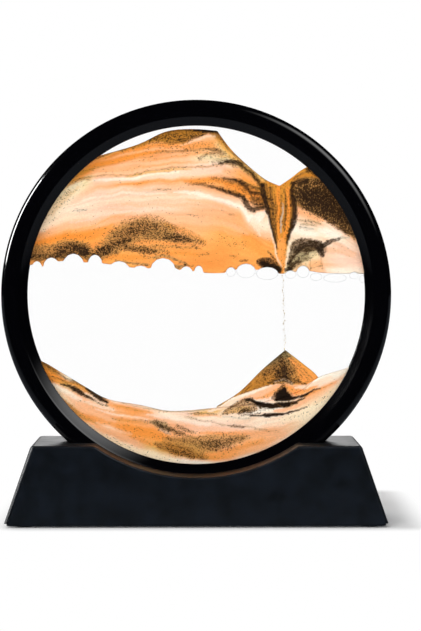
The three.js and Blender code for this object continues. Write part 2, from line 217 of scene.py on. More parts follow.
# the same with vectors; a length is a number and comes out of a socket of its own
def calculateVector(tree, operation, first, second=(0, 0, 0)):
    outputs = addNode(tree, "ShaderNodeVectorMath", {0: first, 1: second}, operation=operation).outputs
    return outputs["Value"] if operation == "LENGTH" else outputs[0]


# 1 for what the camera sees, straight or through glass
def cameraSees(tree, ray):
    return calculate(tree, "MAXIMUM", ray["Is Camera Ray"], ray["Is Transmission Ray"])


# an empty material, its node tree, and the place on the object that its patterns follow
def startMaterial(name):
    material = bpy.data.materials.new(name)
    material.use_nodes = True
    material.node_tree.nodes.clear()
    tree = material.node_tree
    place = addNode(tree, "ShaderNodeTexCoord").outputs["Object"]
    return material, tree, place


# closes a material with the shader of its surface
def endMaterial(tree, shader):
    addNode(tree, "ShaderNodeOutputMaterial", {"Surface": shader})


# closes a material with an opaque surface
def endSurface(tree, inputs):
    endMaterial(tree, addNode(tree, "ShaderNodeBsdfPrincipled", inputs).outputs[0])


# gives an object its only material, and a new piece the slot it stands for in the record
def dress(obj, material, slot=None):
    obj.data.materials.clear()
    obj.data.materials.append(material)
    if slot:
        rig.slot(obj, slot)


def meshObject(name, mesh):
    obj = bpy.data.objects.new(name, mesh)
    scene.collection.objects.link(obj)
    return obj


# copies the meshes of CAD nodes into one new object, with their loose triangles joined
def mergedCopy(name, nodeNames):
    joined = bmesh.new()
    for nodeName in nodeNames:
        joined.from_mesh(nodes[nodeName].data)
    bmesh.ops.remove_doubles(joined, verts=joined.verts, dist=weldWithin)
    mesh = bpy.data.meshes.new(name)
    joined.to_mesh(mesh)
    joined.free()
    return meshObject(name, mesh)


# turns an object with its modifiers into a plain mesh
def applyModifiers(obj):
    graph = bpy.context.evaluated_depsgraph_get()
    mesh = bpy.data.meshes.new_from_object(
        obj.evaluated_get(graph), preserve_all_data_layers=True, depsgraph=graph)
    obj.modifiers.clear()
    obj.data = mesh
    mesh.name = obj.name
    return obj


# a Geometry Nodes tree with named inputs, and the node that holds them
def startTree(name, sockets):
    tree = bpy.data.node_groups.new(name, "GeometryNodeTree")
    tree.is_modifier = True
    for label, kind in [("Geometry", "NodeSocketGeometry")] + sockets:
        tree.interface.new_socket(label, in_out="INPUT", socket_type=kind)
    tree.interface.new_socket("Geometry", in_out="OUTPUT", socket_type="NodeSocketGeometry")
    return tree, addNode(tree, "NodeGroupInput").outputs


# closes a tree: its instances become real, because the export drops instances
def endTree(tree, geometry, material):
    real = addNode(tree, "GeometryNodeRealizeInstances", {"Geometry": geometry})
    painted = addNode(tree, "GeometryNodeSetMaterial", {"Geometry": real.outputs[0], "Material": material})
    addNode(tree, "NodeGroupOutput", {"Geometry": painted.outputs[0]})


# runs a tree on an object with the given inputs and leaves a plain mesh
def runTree(obj, tree, values):
    modifier = obj.modifiers.new(tree.name, "NODES")
    modifier.node_group = tree
    for item in tree.interface.items_tree:
        if item.in_out == "INPUT" and item.name in values:
            modifier[item.identifier] = values[item.name]
    return applyModifiers(obj)


# smooth shading, with edges sharper than this many degrees left crisp
def smoothByAngle(obj, degrees):
    obj.data.shade_smooth()
    obj.data.set_sharp_from_angle(angle=math.radians(degrees))


# large faces keep their own direction in the shading next to narrow rounded edges
def shadeByFaces(obj, faceWeight=80):
    weighted = obj.modifiers.new("even_shading", "WEIGHTED_NORMAL")
    weighted.keep_sharp = True
    weighted.weight = faceWeight
    applyModifiers(obj)


# the camera stands in front of the ring and a little above its middle: metres, degrees and mm
cameraSetup = {"place": (0.0, -0.866, 0.1214), "downTilt": 1.793, "yaw": -0.4316,
               "lens": 107.54, "sensor": 36}

camera = bpy.data.objects.new("camera", bpy.data.cameras.new("camera"))
scene.collection.objects.link(camera)
camera.location = cameraSetup["place"]
camera.rotation_euler = (math.radians(90 - cameraSetup["downTilt"]), 0, math.radians(cameraSetup["yaw"]))
camera.data.lens = cameraSetup["lens"]
camera.data.sensor_width = cameraSetup["sensor"]
scene.camera = camera
print("camera set")

# Looks of the pieces, with sizes in mm. Where a roughness has two numbers, they are those of the glossiest
# and the dullest spots.

# gloss black ABS from a polished mould: deep black, mirror-like, with the faintest orange peel
ringLook = {"colour": "#020204", "roughness": (0.07, 0.119), "wipeSize": 50 / 3, "wipeFrom": 0.3,
            "wipeTo": 0.7, "peelSize": 5.0, "peelHeight": 0.004}

glossAbs, tree, place = startMaterial("polished_black_abs")
wipe = noiseOver(tree, place, ringLook["wipeSize"], 3.0)
peel = noiseOver(tree, place, ringLook["peelSize"], 2.0)
endSurface(tree, {
    "Base Color": ringLook["colour"], "IOR": 1.5, "Normal": bumps(tree, peel, ringLook["peelHeight"]),
    "Roughness": mapRange(tree, wipe, ringLook["wipeFrom"], ringLook["wipeTo"], *ringLook["roughness"])})

# satin black ABS from a spark-eroded mould: a soft sheen over a fine grain, slightly uneven in tone
standLook = {"dark": "#050A10", "light": "#08111C", "toneFrom": 0.35, "toneTo": 0.65, "mottleSize": 9.0,
             "roughness": (0.378, 0.462), "sheenFrom": 0.3, "sheenTo": 0.7, "grainSize": 0.55,
             "grainHeight": 0.02, "sharpFrom": 33}

satinAbs, tree, place = startMaterial("spark_eroded_black_abs")
mottle = noiseOver(tree, place, standLook["mottleSize"], 4.0, 0.6)
grain = noiseOver(tree, place, standLook["grainSize"], 3.0)
tone = mapRange(tree, mottle, standLook["toneFrom"], standLook["toneTo"])
sheen = mapRange(tree, mottle, standLook["sheenFrom"], standLook["sheenTo"], *standLook["roughness"])
endSurface(tree, {
    "Base Color": mixColours(tree, tone, standLook["dark"], standLook["light"]), "IOR": 1.5,
    "Roughness": sheen, "Normal": bumps(tree, grain, standLook["grainHeight"])})

# closed-cell foam seal: dull dark grey with fine pores, whose hollows are darkened with painted shade
sealLook = {"colour": "#0C0B0C", "poreShade": "#050505", "poreSize": 0.5, "poreDepth": 0.05, "roughness": 0.9}

sealFoam, tree, place = startMaterial("closed_cell_foam")
poreDepthAndShade = cellsOver(tree, place, sealLook["poreSize"])["Distance"]
# the pore tone is painted shade in the hollow of each pore
endSurface(tree, {
    "Base Color": mixColours(tree, poreDepthAndShade, sealLook["poreShade"], sealLook["colour"]),
    "Roughness": sealLook["roughness"], "Normal": bumps(tree, poreDepthAndShade, sealLook["poreDepth"])})

# moulded nitrile rubber: matt black with faint dust in its grain
rubberLook = {"colour": "#111111", "dust": "#1D1C1B", "dustFrom": 0.45, "dustTo": 0.7, "grainSize": 0.8,
              "grainHeight": 0.03, "roughness": 0.8}

nitrile, tree, place = startMaterial("moulded_nitrile_rubber")
grain = noiseOver(tree, place, rubberLook["grainSize"], 5.0)
dust = mapRange(tree, grain, rubberLook["dustFrom"], rubberLook["dustTo"])
endSurface(tree, {
    "Base Color": mixColours(tree, dust, rubberLook["colour"], rubberLook["dust"]),
    "Roughness": rubberLook["roughness"], "Normal": bumps(tree, grain, rubberLook["grainHeight"])})

# zinc-plated steel: bright, slightly cloudy metal
screwLook = {"bright": "#C9CCD0", "cloud": "#9EA3A9", "cloudSize": 1.6, "roughness": (0.21, 0.45)}

zincSteel, tree, place = startMaterial("zinc_plated_steel")
cloud = noiseOver(tree, place, screwLook["cloudSize"], 4.0)
endSurface(tree, {
    "Base Color": mixColours(tree, cloud, screwLook["bright"], screwLook["cloud"]), "Metallic": 1.0,
    "Roughness": mapRange(tree, cloud, 0.0, 1.0, *screwLook["roughness"])})

# the faint film of smudges on clear solids, and the roughness where it is clean
filmLook = {"size": 200 / 9, "from": 0.4, "to": 0.7, "clean": 0.01}


# a clear solid: see-through, with a share of the mirror image that a real surface of that index gives
def clearMaterial(name, tint, ior, mirrorShare, smudged):
    material, tree, place = startMaterial(name)
    film = noiseOver(tree, place, filmLook["size"], 3.0)
    rough = mapRange(tree, film, filmLook["from"], filmLook["to"], filmLook["clean"], smudged)
    edge = addNode(tree, "ShaderNodeFresnel", {"IOR": ior}).outputs[0]
    clear = addNode(tree, "ShaderNodeBsdfTransparent", {"Color": tint}).outputs[0]
    mirror = addNode(tree, "ShaderNodeBsdfGlossy", {"Color": "#FFFFFF", "Roughness": rough}).outputs[0]
    endMaterial(tree, mixShaders(tree, calculate(tree, "MULTIPLY", edge, mirrorShare), clear, mirror))
    return material


# float glass with polished faces: clear and bright, hardly seen from the front
floatGlass = clearMaterial("float_glass", "#FFFFFF", 1.5, 0.1, 0.04)
# water with a little glycerine: no surface of its own shows behind the glass
clearLiquid = clearMaterial("glycerine_water", "#FFFFFF", 1.33, 0.02, 0.02)
# cast acrylic spacer: clear with a slight haze
castAcrylic = clearMaterial("cast_acrylic", "#EEF3F3", 1.49, 0.5, 0.12)

print("materials made")

# the ring, in mm: its centre is the height of its axis, and half is half of its depth
ringSize = {"radius": 89.0, "centre": 103.7, "half": 10.0, "edgeRound": 4.2, "flatWidth": 3.4,
            "bevelWidth": 4.2, "bevelDepth": 3.8, "bevelHollow": 0.04, "lipLand": 0.4, "faceWall": 2.2,
            "rimWall": 3.0, "seatRib": 4.6, "rearGrowth": 0.8, "seamBevel": 0.35,
            "softEdge": 2.4, "crispEdge": 0.12, "lipEdge": 0.45, "sharpFrom": 32,
            "turnSteps": 288, "roundSteps": 10, "bevelSteps": 6, "softSteps": 8, "crispSteps": 3,
            "lipSteps": 5}


# rounds the corners of a closed outline; each corner carries its radius and number of steps
def roundedOutline(corners):
    outline = []
    for index, (x, y, radius, steps) in enumerate(corners):
        here = Vector((x, y))
        before = Vector(corners[index - 1][:2])
        after = Vector(corners[(index + 1) % len(corners)][:2])
        if radius <= 0:
            outline.append(here)
            continue
        back = (before - here).normalized()
        ahead = (after - here).normalized()
        half = back.angle(ahead) / 2
        reach = radius / math.tan(half)
        centre = here + (back + ahead).normalized() * (radius / math.sin(half))
        start = here + back * reach - centre
        turn = start.angle_signed(here + ahead * reach - centre)
        for step in range(steps + 1):
            angle = -turn * step / steps
            outline.append(centre + Vector((start.x * math.cos(angle) - start.y * math.sin(angle),
                                            start.x * math.sin(angle) + start.y * math.cos(angle))))
    return outline


# half of the ring in section, from its seam at y = 0 to its face; side is -1 at the front
def ringSection(side, growth):
    s = ringSize
    bevelEdge = s["radius"] - s["edgeRound"] - s["flatWidth"]
    opening = bevelEdge - s["bevelWidth"] + growth
    rib = bevelEdge - s["bevelWidth"] + s["seatRib"]
    pocket = s["radius"] - s["rimWall"]
    seat = s["half"] - s["bevelDepth"] - s["lipLand"]
    fine = (s["crispEdge"], s["crispSteps"])
    # the bevel is slightly hollow, so a lamp's mirror image fades across it
    hollow = []
    for step in range(1, s["bevelSteps"] - 1):
        along = step / s["bevelSteps"]
        sink = 4 * s["bevelHollow"] * along * (1 - along) / math.hypot(s["bevelWidth"], s["bevelDepth"])
        hollow.append((opening + s["bevelWidth"] * along + s["bevelDepth"] * sink,
                       s["half"] - s["bevelDepth"] * (1 - along) - s["bevelWidth"] * sink, 0, 1))
    corners = [
        (pocket, 0, 0, 1), (pocket, s["half"] - s["faceWall"], 0, 1),
        (rib, s["half"] - s["faceWall"], 0, 1), (rib, seat, 0, 1), (opening, seat, *fine),
        (opening, s["half"] - s["bevelDepth"], s["lipEdge"], s["lipSteps"]), *hollow,
        (bevelEdge, s["half"], s["softEdge"], s["softSteps"]),
        (s["radius"], s["half"], s["edgeRound"], s["roundSteps"]),
        (s["radius"], s["seamBevel"], 0, 1), (s["radius"] - s["seamBevel"], 0, 0, 1)]
    return [(x, side * y) for x, y in roundedOutline(corners)]


# carries a section round a circle and stands the result up on its edge
turnTree, given = startTree("turned_section", [
    ("Radius", "NodeSocketFloat"), ("Height", "NodeSocketFloat"), ("Steps", "NodeSocketInt"),
    ("Material", "NodeSocketMaterial")])
path = addNode(turnTree, "GeometryNodeCurvePrimitiveCircle", {
    "Radius": given["Radius"], "Resolution": given["Steps"]})
section = addNode(turnTree, "GeometryNodeMeshToCurve", {"Mesh": given["Geometry"]})
swept = addNode(turnTree, "GeometryNodeCurveToMesh", {
    "Curve": path.outputs[0], "Profile Curve": section.outputs[0]})
lift = addNode(turnTree, "ShaderNodeCombineXYZ", {"Z": given["Height"]})
stood = addNode(turnTree, "GeometryNodeTransform", {
    "Geometry": swept.outputs[0], "Translation": lift.outputs[0], "Rotation": (math.pi / 2, 0, 0)})
endTree(turnTree, stood.outputs[0], given["Material"])


# turns a section about the ring's axis
def turnedPiece(name, section, material):
    mesh = bpy.data.meshes.new(name)
    rim = ringSize["radius"]
    points = [((x - rim) * mm, y * mm, 0) for x, y in section]
    mesh.from_pydata(points, [(i, (i + 1) % len(points)) for i in range(len(points))], [])
    obj = runTree(meshObject(name, mesh), turnTree, {
        "Radius": rim * mm, "Height": ringSize["centre"] * mm, "Steps": ringSize["turnSteps"],
        "Material": material})
    closed = bmesh.new()
    closed.from_mesh(obj.data)
    bmesh.ops.remove_doubles(closed, verts=closed.verts, dist=weldWithin)
    bmesh.ops.recalc_face_normals(closed, faces=closed.faces)
    closed.to_mesh(obj.data)
    closed.free()
    smoothByAngle(obj, ringSize["sharpFrom"])
    shadeByFaces(obj)
    return obj


for side, name, growth, replaced in [(-1, "ring_front", 0, "front_rim"),
                                     (1, "ring_rear", ringSize["rearGrowth"], "rear_rim")]:
    half = turnedPiece(name, ringSection(side, growth), glossAbs)
    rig.replaces(half, replaced)
    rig.slot(half, "ring_plastic")
    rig.ride(half, "frame")
print("ring made")

# the stand keeps its CAD shape, with even shading over its rounded edges
standShell = mergedCopy("stand_shell", ["base_shell"])
smoothByAngle(standShell, standLook["sharpFrom"])
shadeByFaces(standShell)
dress(standShell, satinAbs, "base_plastic")
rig.replaces(standShell, "base_shell")
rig.ride(standShell, "base")
dress(nodes["bottom_cover"], satinAbs)
for index in range(1, 5):
    dress(nodes["cover_screw_%d" % index], zincSteel)
    dress(nodes["rubber_foot_%d" % index], nitrile)
print("stand made")

# the glass cell and its seals are the CAD solids in their own finishes
for name in ["front_gasket", "rear_gasket", "edge_cushion"]:
    dress(nodes[name], sealFoam)
dress(nodes["fill_plug"], nitrile)
for name in ["front_glass", "rear_glass"]:
    dress(nodes[name], floatGlass)
for name in ["liquid_above_sand", "liquid_below_sand"]:
    dress(nodes[name], clearLiquid)
dress(nodes["cell_spacer"], castAcrylic)
print("glass cell dressed")

# air bubbles; those right of strongRimFrom, in mm, lie before the white and show their edge, so they get a strong
# painted edge shade and the rest a faint one
bubbleLook = {"segments": 24, "rim": "#7A7C80", "rimBlend": 0.35, "rimFrom": 0.55, "rimTo": 0.95,
              "strongRimFrom": 10.0, "faintRim": 0.08, "strongRim": 0.9, "sharpFrom": 60}

# air between two panes: clear, with a thin grey line of painted shade where its edge turns away, standing in for the
# light bent away at the bubble's edge
trappedAir, tree, place = startMaterial("trapped_air")
grazing = addNode(tree, "ShaderNodeLayerWeight", {"Blend": bubbleLook["rimBlend"]}).outputs["Facing"]
rimShadeMask = mapRange(tree, grazing, bubbleLook["rimFrom"], bubbleLook["rimTo"])
rimShade = addNode(tree, "ShaderNodeAttribute", attribute_name="rimShade").outputs["Fac"]
clear = addNode(tree, "ShaderNodeBsdfTransparent").outputs[0]
# the grey line is painted shade, not a colour of the air
rimShadeLine = addNode(tree, "ShaderNodeBsdfDiffuse", {"Color": bubbleLook["rim"]}).outputs[0]
endMaterial(tree, mixShaders(tree, calculate(tree, "MULTIPLY", rimShadeMask, rimShade), clear, rimShadeLine))

bubbleNames = sorted(name for name in nodes if name.startswith("air_bubble_"))
centres, sizes, shades = [], [], []
for name in bubbleNames:
    low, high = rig.box(name)
    centres.append((low + high) / 2)
    sizes.append((high - low) / 2)
    strong = centres[-1].x > bubbleLook["strongRimFrom"] * mm
    shades.append(bubbleLook["strongRim"] if strong else bubbleLook["faintRim"])
mesh = bpy.data.meshes.new("air_bubbles")
mesh.from_pydata(centres, [], [])
mesh.attributes.new("bubbleSize", "FLOAT_VECTOR", "POINT").data.foreach_set(
    "vector", [v for size in sizes for v in size])
mesh.attributes.new("rimShade", "FLOAT", "POINT").data.foreach_set("value", shades)

# a short cylinder, rounded and brought to unit size, stands on each point at that bubble's size
bubbleTree, given = startTree("bubbles_on_points", [
    ("Segments", "NodeSocketInt"), ("Material", "NodeSocketMaterial")])
pill = addNode(bubbleTree, "GeometryNodeMeshCylinder", {
    "Vertices": given["Segments"], "Radius": 1.0, "Depth": 2.0})
rounded = addNode(bubbleTree, "GeometryNodeSubdivisionSurface", {"Mesh": pill.outputs[0], "Level": 2})
extent = addNode(bubbleTree, "GeometryNodeBoundBox", {"Geometry": rounded.outputs[0]})
fitted = addNode(bubbleTree, "ShaderNodeVectorMath", {0: (1.0, 1.0, 1.0), 1: extent.outputs["Max"]},
                 operation="DIVIDE")
unit = addNode(bubbleTree, "GeometryNodeTransform", {
    "Geometry": rounded.outputs[0], "Scale": fitted.outputs[0]})
turned = addNode(bubbleTree, "GeometryNodeTransform", {
    "Geometry": unit.outputs[0], "Rotation": (math.pi / 2, 0, 0)})
size = addNode(bubbleTree, "GeometryNodeInputNamedAttribute", {"Name": "bubbleSize"},
               data_type="FLOAT_VECTOR")
placed = addNode(bubbleTree, "GeometryNodeInstanceOnPoints", {
    "Points": given["Geometry"], "Instance": turned.outputs[0], "Scale": size.outputs[0]})
endTree(bubbleTree, placed.outputs[0], given["Material"])
airBubbles = runTree(meshObject("air_bubbles", mesh), bubbleTree, {
    "Segments": bubbleLook["segments"], "Material": trappedAir})
smoothByAngle(airBubbles, bubbleLook["sharpFrom"])
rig.replaces(airBubbles, *bubbleNames)
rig.slot(airBubbles, "trapped_air")
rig.ride(airBubbles, "frame")
print("bubbles made:", len(bubbleNames))

# the sand, in mm: facets of voxel size carry its paint, and overlap grows each body over the CAD's gaps
sandLook = {"voxel": 1.0 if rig.quick() else 0.5, "grain": 0.3, "grainHeight": 0.08, "bumpStrength": 0.4,
            "toneFrom": 0.86, "toneTo": 1.08, "darkGrain": "#1C1108", "brownGrain": "#8E6438",
            "roughness": 0.85, "gloss": 0.15, "overlap": 0.2, "sharpFrom": 50}

funnelMiddle = 39.6  # where the funnel of falling sand parts the hanging sand

# the sand's own colours
sandTones = {
    "white": "#FFF3E2", "cream": "#FEE0C2", "pink": "#FCCEB2", "peach": "#FBBB8C", "warm": "#FBB074",
    "orange": "#FAA150", "deep": "#F49338", "ochre": "#D98E32", "gold": "#E9B260", "beige": "#F1D8A8",
    "tan": "#BE8A4C", "brown": "#A06C36", "umber": "#6E4C28", "black": "#1E150E", "olive": "#96845A",
    "grey": "#BCB4A2", "rust": "#BE7E2C", "straw": "#FFE9C6"}

# Layers as they lie, from the top down: x and z in mm from the ring's centre, and the tone there.
# Between two layers the tone runs from one into the other.
hangingLayers = [
    [(-78, 42, "beige"), (-60, 56, "ochre"), (-50, 61, "ochre"), (-45, 62.7, "orange"), (-35, 66.6, "gold"),
        (-30, 68, "gold"), (-25, 70.2, "ochre"), (-20, 72.7, "rust"), (-10, 75.3, "rust"),
        (0, 75.5, "rust"), (9, 75, "umber"), (12, 71, "brown"), (15, 67.3, "ochre"), (21, 62.3, "ochre"),
        (30, 55.2, "ochre"), (40, 49, "ochre")],
    [(-78, 41, "beige"), (-60, 55, "gold"), (-50, 60, "orange"), (-45, 61.7, "orange"), (-35, 65, "orange"),
        (-25, 69.5, "ochre"), (-20, 70.6, "rust"), (-12, 70.2, "rust"), (-6, 70.2, "rust"),
        (0, 72.4, "brown"), (6, 73.9, "brown"), (12, 70, "ochre"), (15, 66, "gold"), (21, 61, "gold"),
        (30, 54, "gold"), (40, 48, "gold")],
    [(-78, 40, "beige"), (-60, 54, "gold"), (-50, 59, "orange"), (-45, 61, "orange"), (-35, 64, "warm"),
        (-25, 68, "orange"), (-20, 69.3, "warm"), (-12, 69, "orange"), (-6, 69.2, "orange"),
        (0, 71.4, "peach"), (6, 72.9, "peach"), (12, 68, "gold"), (15, 64.5, "gold"), (21, 60, "gold"),
        (30, 53, "gold"), (40, 47, "ochre")],
    [(-78, 38, "beige"), (-60, 52, "ochre"), (-50, 57.5, "ochre"), (-45, 59.7, "deep"), (-35, 62, "deep"),
        (-22, 64.7, "orange"), (-10, 67, "warm"), (0, 67.5, "orange"), (8, 68, "orange"),
        (14, 63.5, "beige"), (20, 59, "gold"), (30, 52, "ochre")],
    [(-78, 37, "beige"), (-60, 50, "gold"), (-50, 55.5, "orange"), (-45, 57.7, "warm"), (-35, 59, "peach"),
        (-20, 61, "peach"), (-5, 63, "peach"), (5, 63, "beige"), (14, 61.5, "beige"), (20, 57, "peach"),
        (30, 50, "ochre")],
    [(-78, 36, "beige"), (-60, 48, "beige"), (-50, 53.8, "beige"), (-45, 55.4, "peach"),
        (-30, 55.8, "peach"), (-20, 58, "peach"), (-10, 59.2, "peach"), (5, 59.7, "pink"), (12, 60, "pink"),
        (20, 55.5, "orange"), (30, 48, "ochre")],
    [(-78, 34, "beige"), (-60, 45, "beige"), (-50, 51, "beige"), (-45, 52.6, "pink"), (-35, 53, "cream"),
        (-28, 53.6, "cream"), (-22, 55.2, "cream"), (-8, 56, "cream"), (8, 57, "pink"), (14, 55.5, "peach"),
        (20, 53.3, "orange"), (30, 47, "ochre")],
    [(-78, 33, "beige"), (-60, 43, "cream"), (-45, 49.5, "peach"), (-35, 50.6, "warm"),
        (-25, 51.6, "orange"), (-20, 52.3, "warm"), (-5, 52.3, "warm"), (0, 52, "orange"),
        (12, 53, "orange"), (20, 50.5, "deep"), (30, 46, "deep")],
    [(-78, 31, "beige"), (-60, 41, "cream"), (-45, 47, "pink"), (-20, 48.5, "pink"), (0, 49.5, "peach"),
        (8, 49, "warm"), (14, 47.5, "orange"), (20, 46, "deep"), (30, 42, "deep")],
    [(-78, 28, "beige"), (-65, 38, "cream"), (-45, 44, "pink"), (-20, 44.5, "cream"), (-3, 46, "cream"),
        (5, 45, "cream"), (12, 43.3, "pink"), (20, 41, "cream"), (24, 36, "cream"), (30, 32, "cream")],
    [(-78, 26, "beige"), (-70, 33, "cream"), (-60, 37, "cream"), (-45, 39.5, "pink"), (-20, 39.5, "pink"),
        (0, 39.5, "peach"), (12, 38.5, "peach"), (20, 36.5, "warm"), (24, 31, "peach"), (30, 27, "peach")],
    [(-78, 24.5, "orange"), (-65, 28, "warm"), (-55, 30.3, "warm"), (-45, 32.6, "peach"),
        (-35, 35.5, "peach"), (-20, 36.5, "peach"), (0, 35, "peach"), (12, 34, "warm"), (24, 29, "warm"),
        (34, 24, "orange")],
    [(-78, 22, "deep"), (-60, 27, "deep"), (-50, 28, "deep"), (-40, 31, "orange"), (-20, 32, "warm"),
        (0, 30, "warm"), (12, 29, "orange"), (24, 26, "orange"), (34, 21, "orange")],
    [(-78, 17, "orange"), (-60, 21, "orange"), (-40, 22, "orange"), (-20, 22, "orange"), (0, 21, "orange"),
        (20, 20, "orange"), (34, 16, "orange")],
    [(-78, 12, "orange"), (-40, 11, "orange"), (0, 9, "orange"), (20, 8, "orange"), (38, 6, "orange")]]

rightLayers = [
    [(38, 50, "ochre"), (45, 54.3, "ochre"), (51, 58, "ochre"), (60, 56, "brown"), (78, 45, "brown")],
    [(38, 48, "ochre"), (44, 52.3, "ochre"), (47, 54.2, "ochre"), (50, 55, "ochre"), (56, 54, "ochre"),
        (66, 46, "brown"), (78, 36, "brown")],
    [(38, 47, "ochre"), (44, 51.3, "brown"), (47, 53, "brown"), (50, 53.6, "brown"), (56, 52, "brown"),
        (66, 44, "umber"), (78, 34, "umber")],
    [(38, 41, "ochre"), (45, 41, "brown"), (50, 39.6, "brown"), (56, 37.2, "brown"), (60, 36, "brown"),
        (66, 32, "brown"), (72, 28, "brown"), (78, 24, "brown")],
    [(38, 40, "peach"), (45, 39.8, "peach"), (50, 38.3, "peach"), (56, 36, "peach"), (60, 34.8, "warm"),
        (66, 30.4, "pink"), (72, 26.5, "warm"), (78, 22, "pink")],
    [(38, 37, "peach"), (45, 36.6, "peach"), (50, 35.5, "peach"), (56, 33.3, "peach"), (60, 32, "cream"),
        (66, 28, "cream"), (78, 20, "pink")],
    [(38, 33, "cream"), (45, 32.5, "cream"), (52, 31, "cream"), (60, 29, "cream"), (66, 26, "cream"),
        (78, 18, "pink")],
    [(38, 26, "cream"), (46, 27, "cream"), (56, 25, "cream"), (66, 22, "pink"), (78, 16, "pink")],
    [(38, 18, "beige"), (50, 18, "beige"), (57, 16, "peach"), (66, 17, "pink"), (78, 13, "pink")],
    [(38, 9, "beige"), (50, 10, "warm"), (57, 11, "peach"), (66, 10, "cream"), (78, 9, "cream")]]

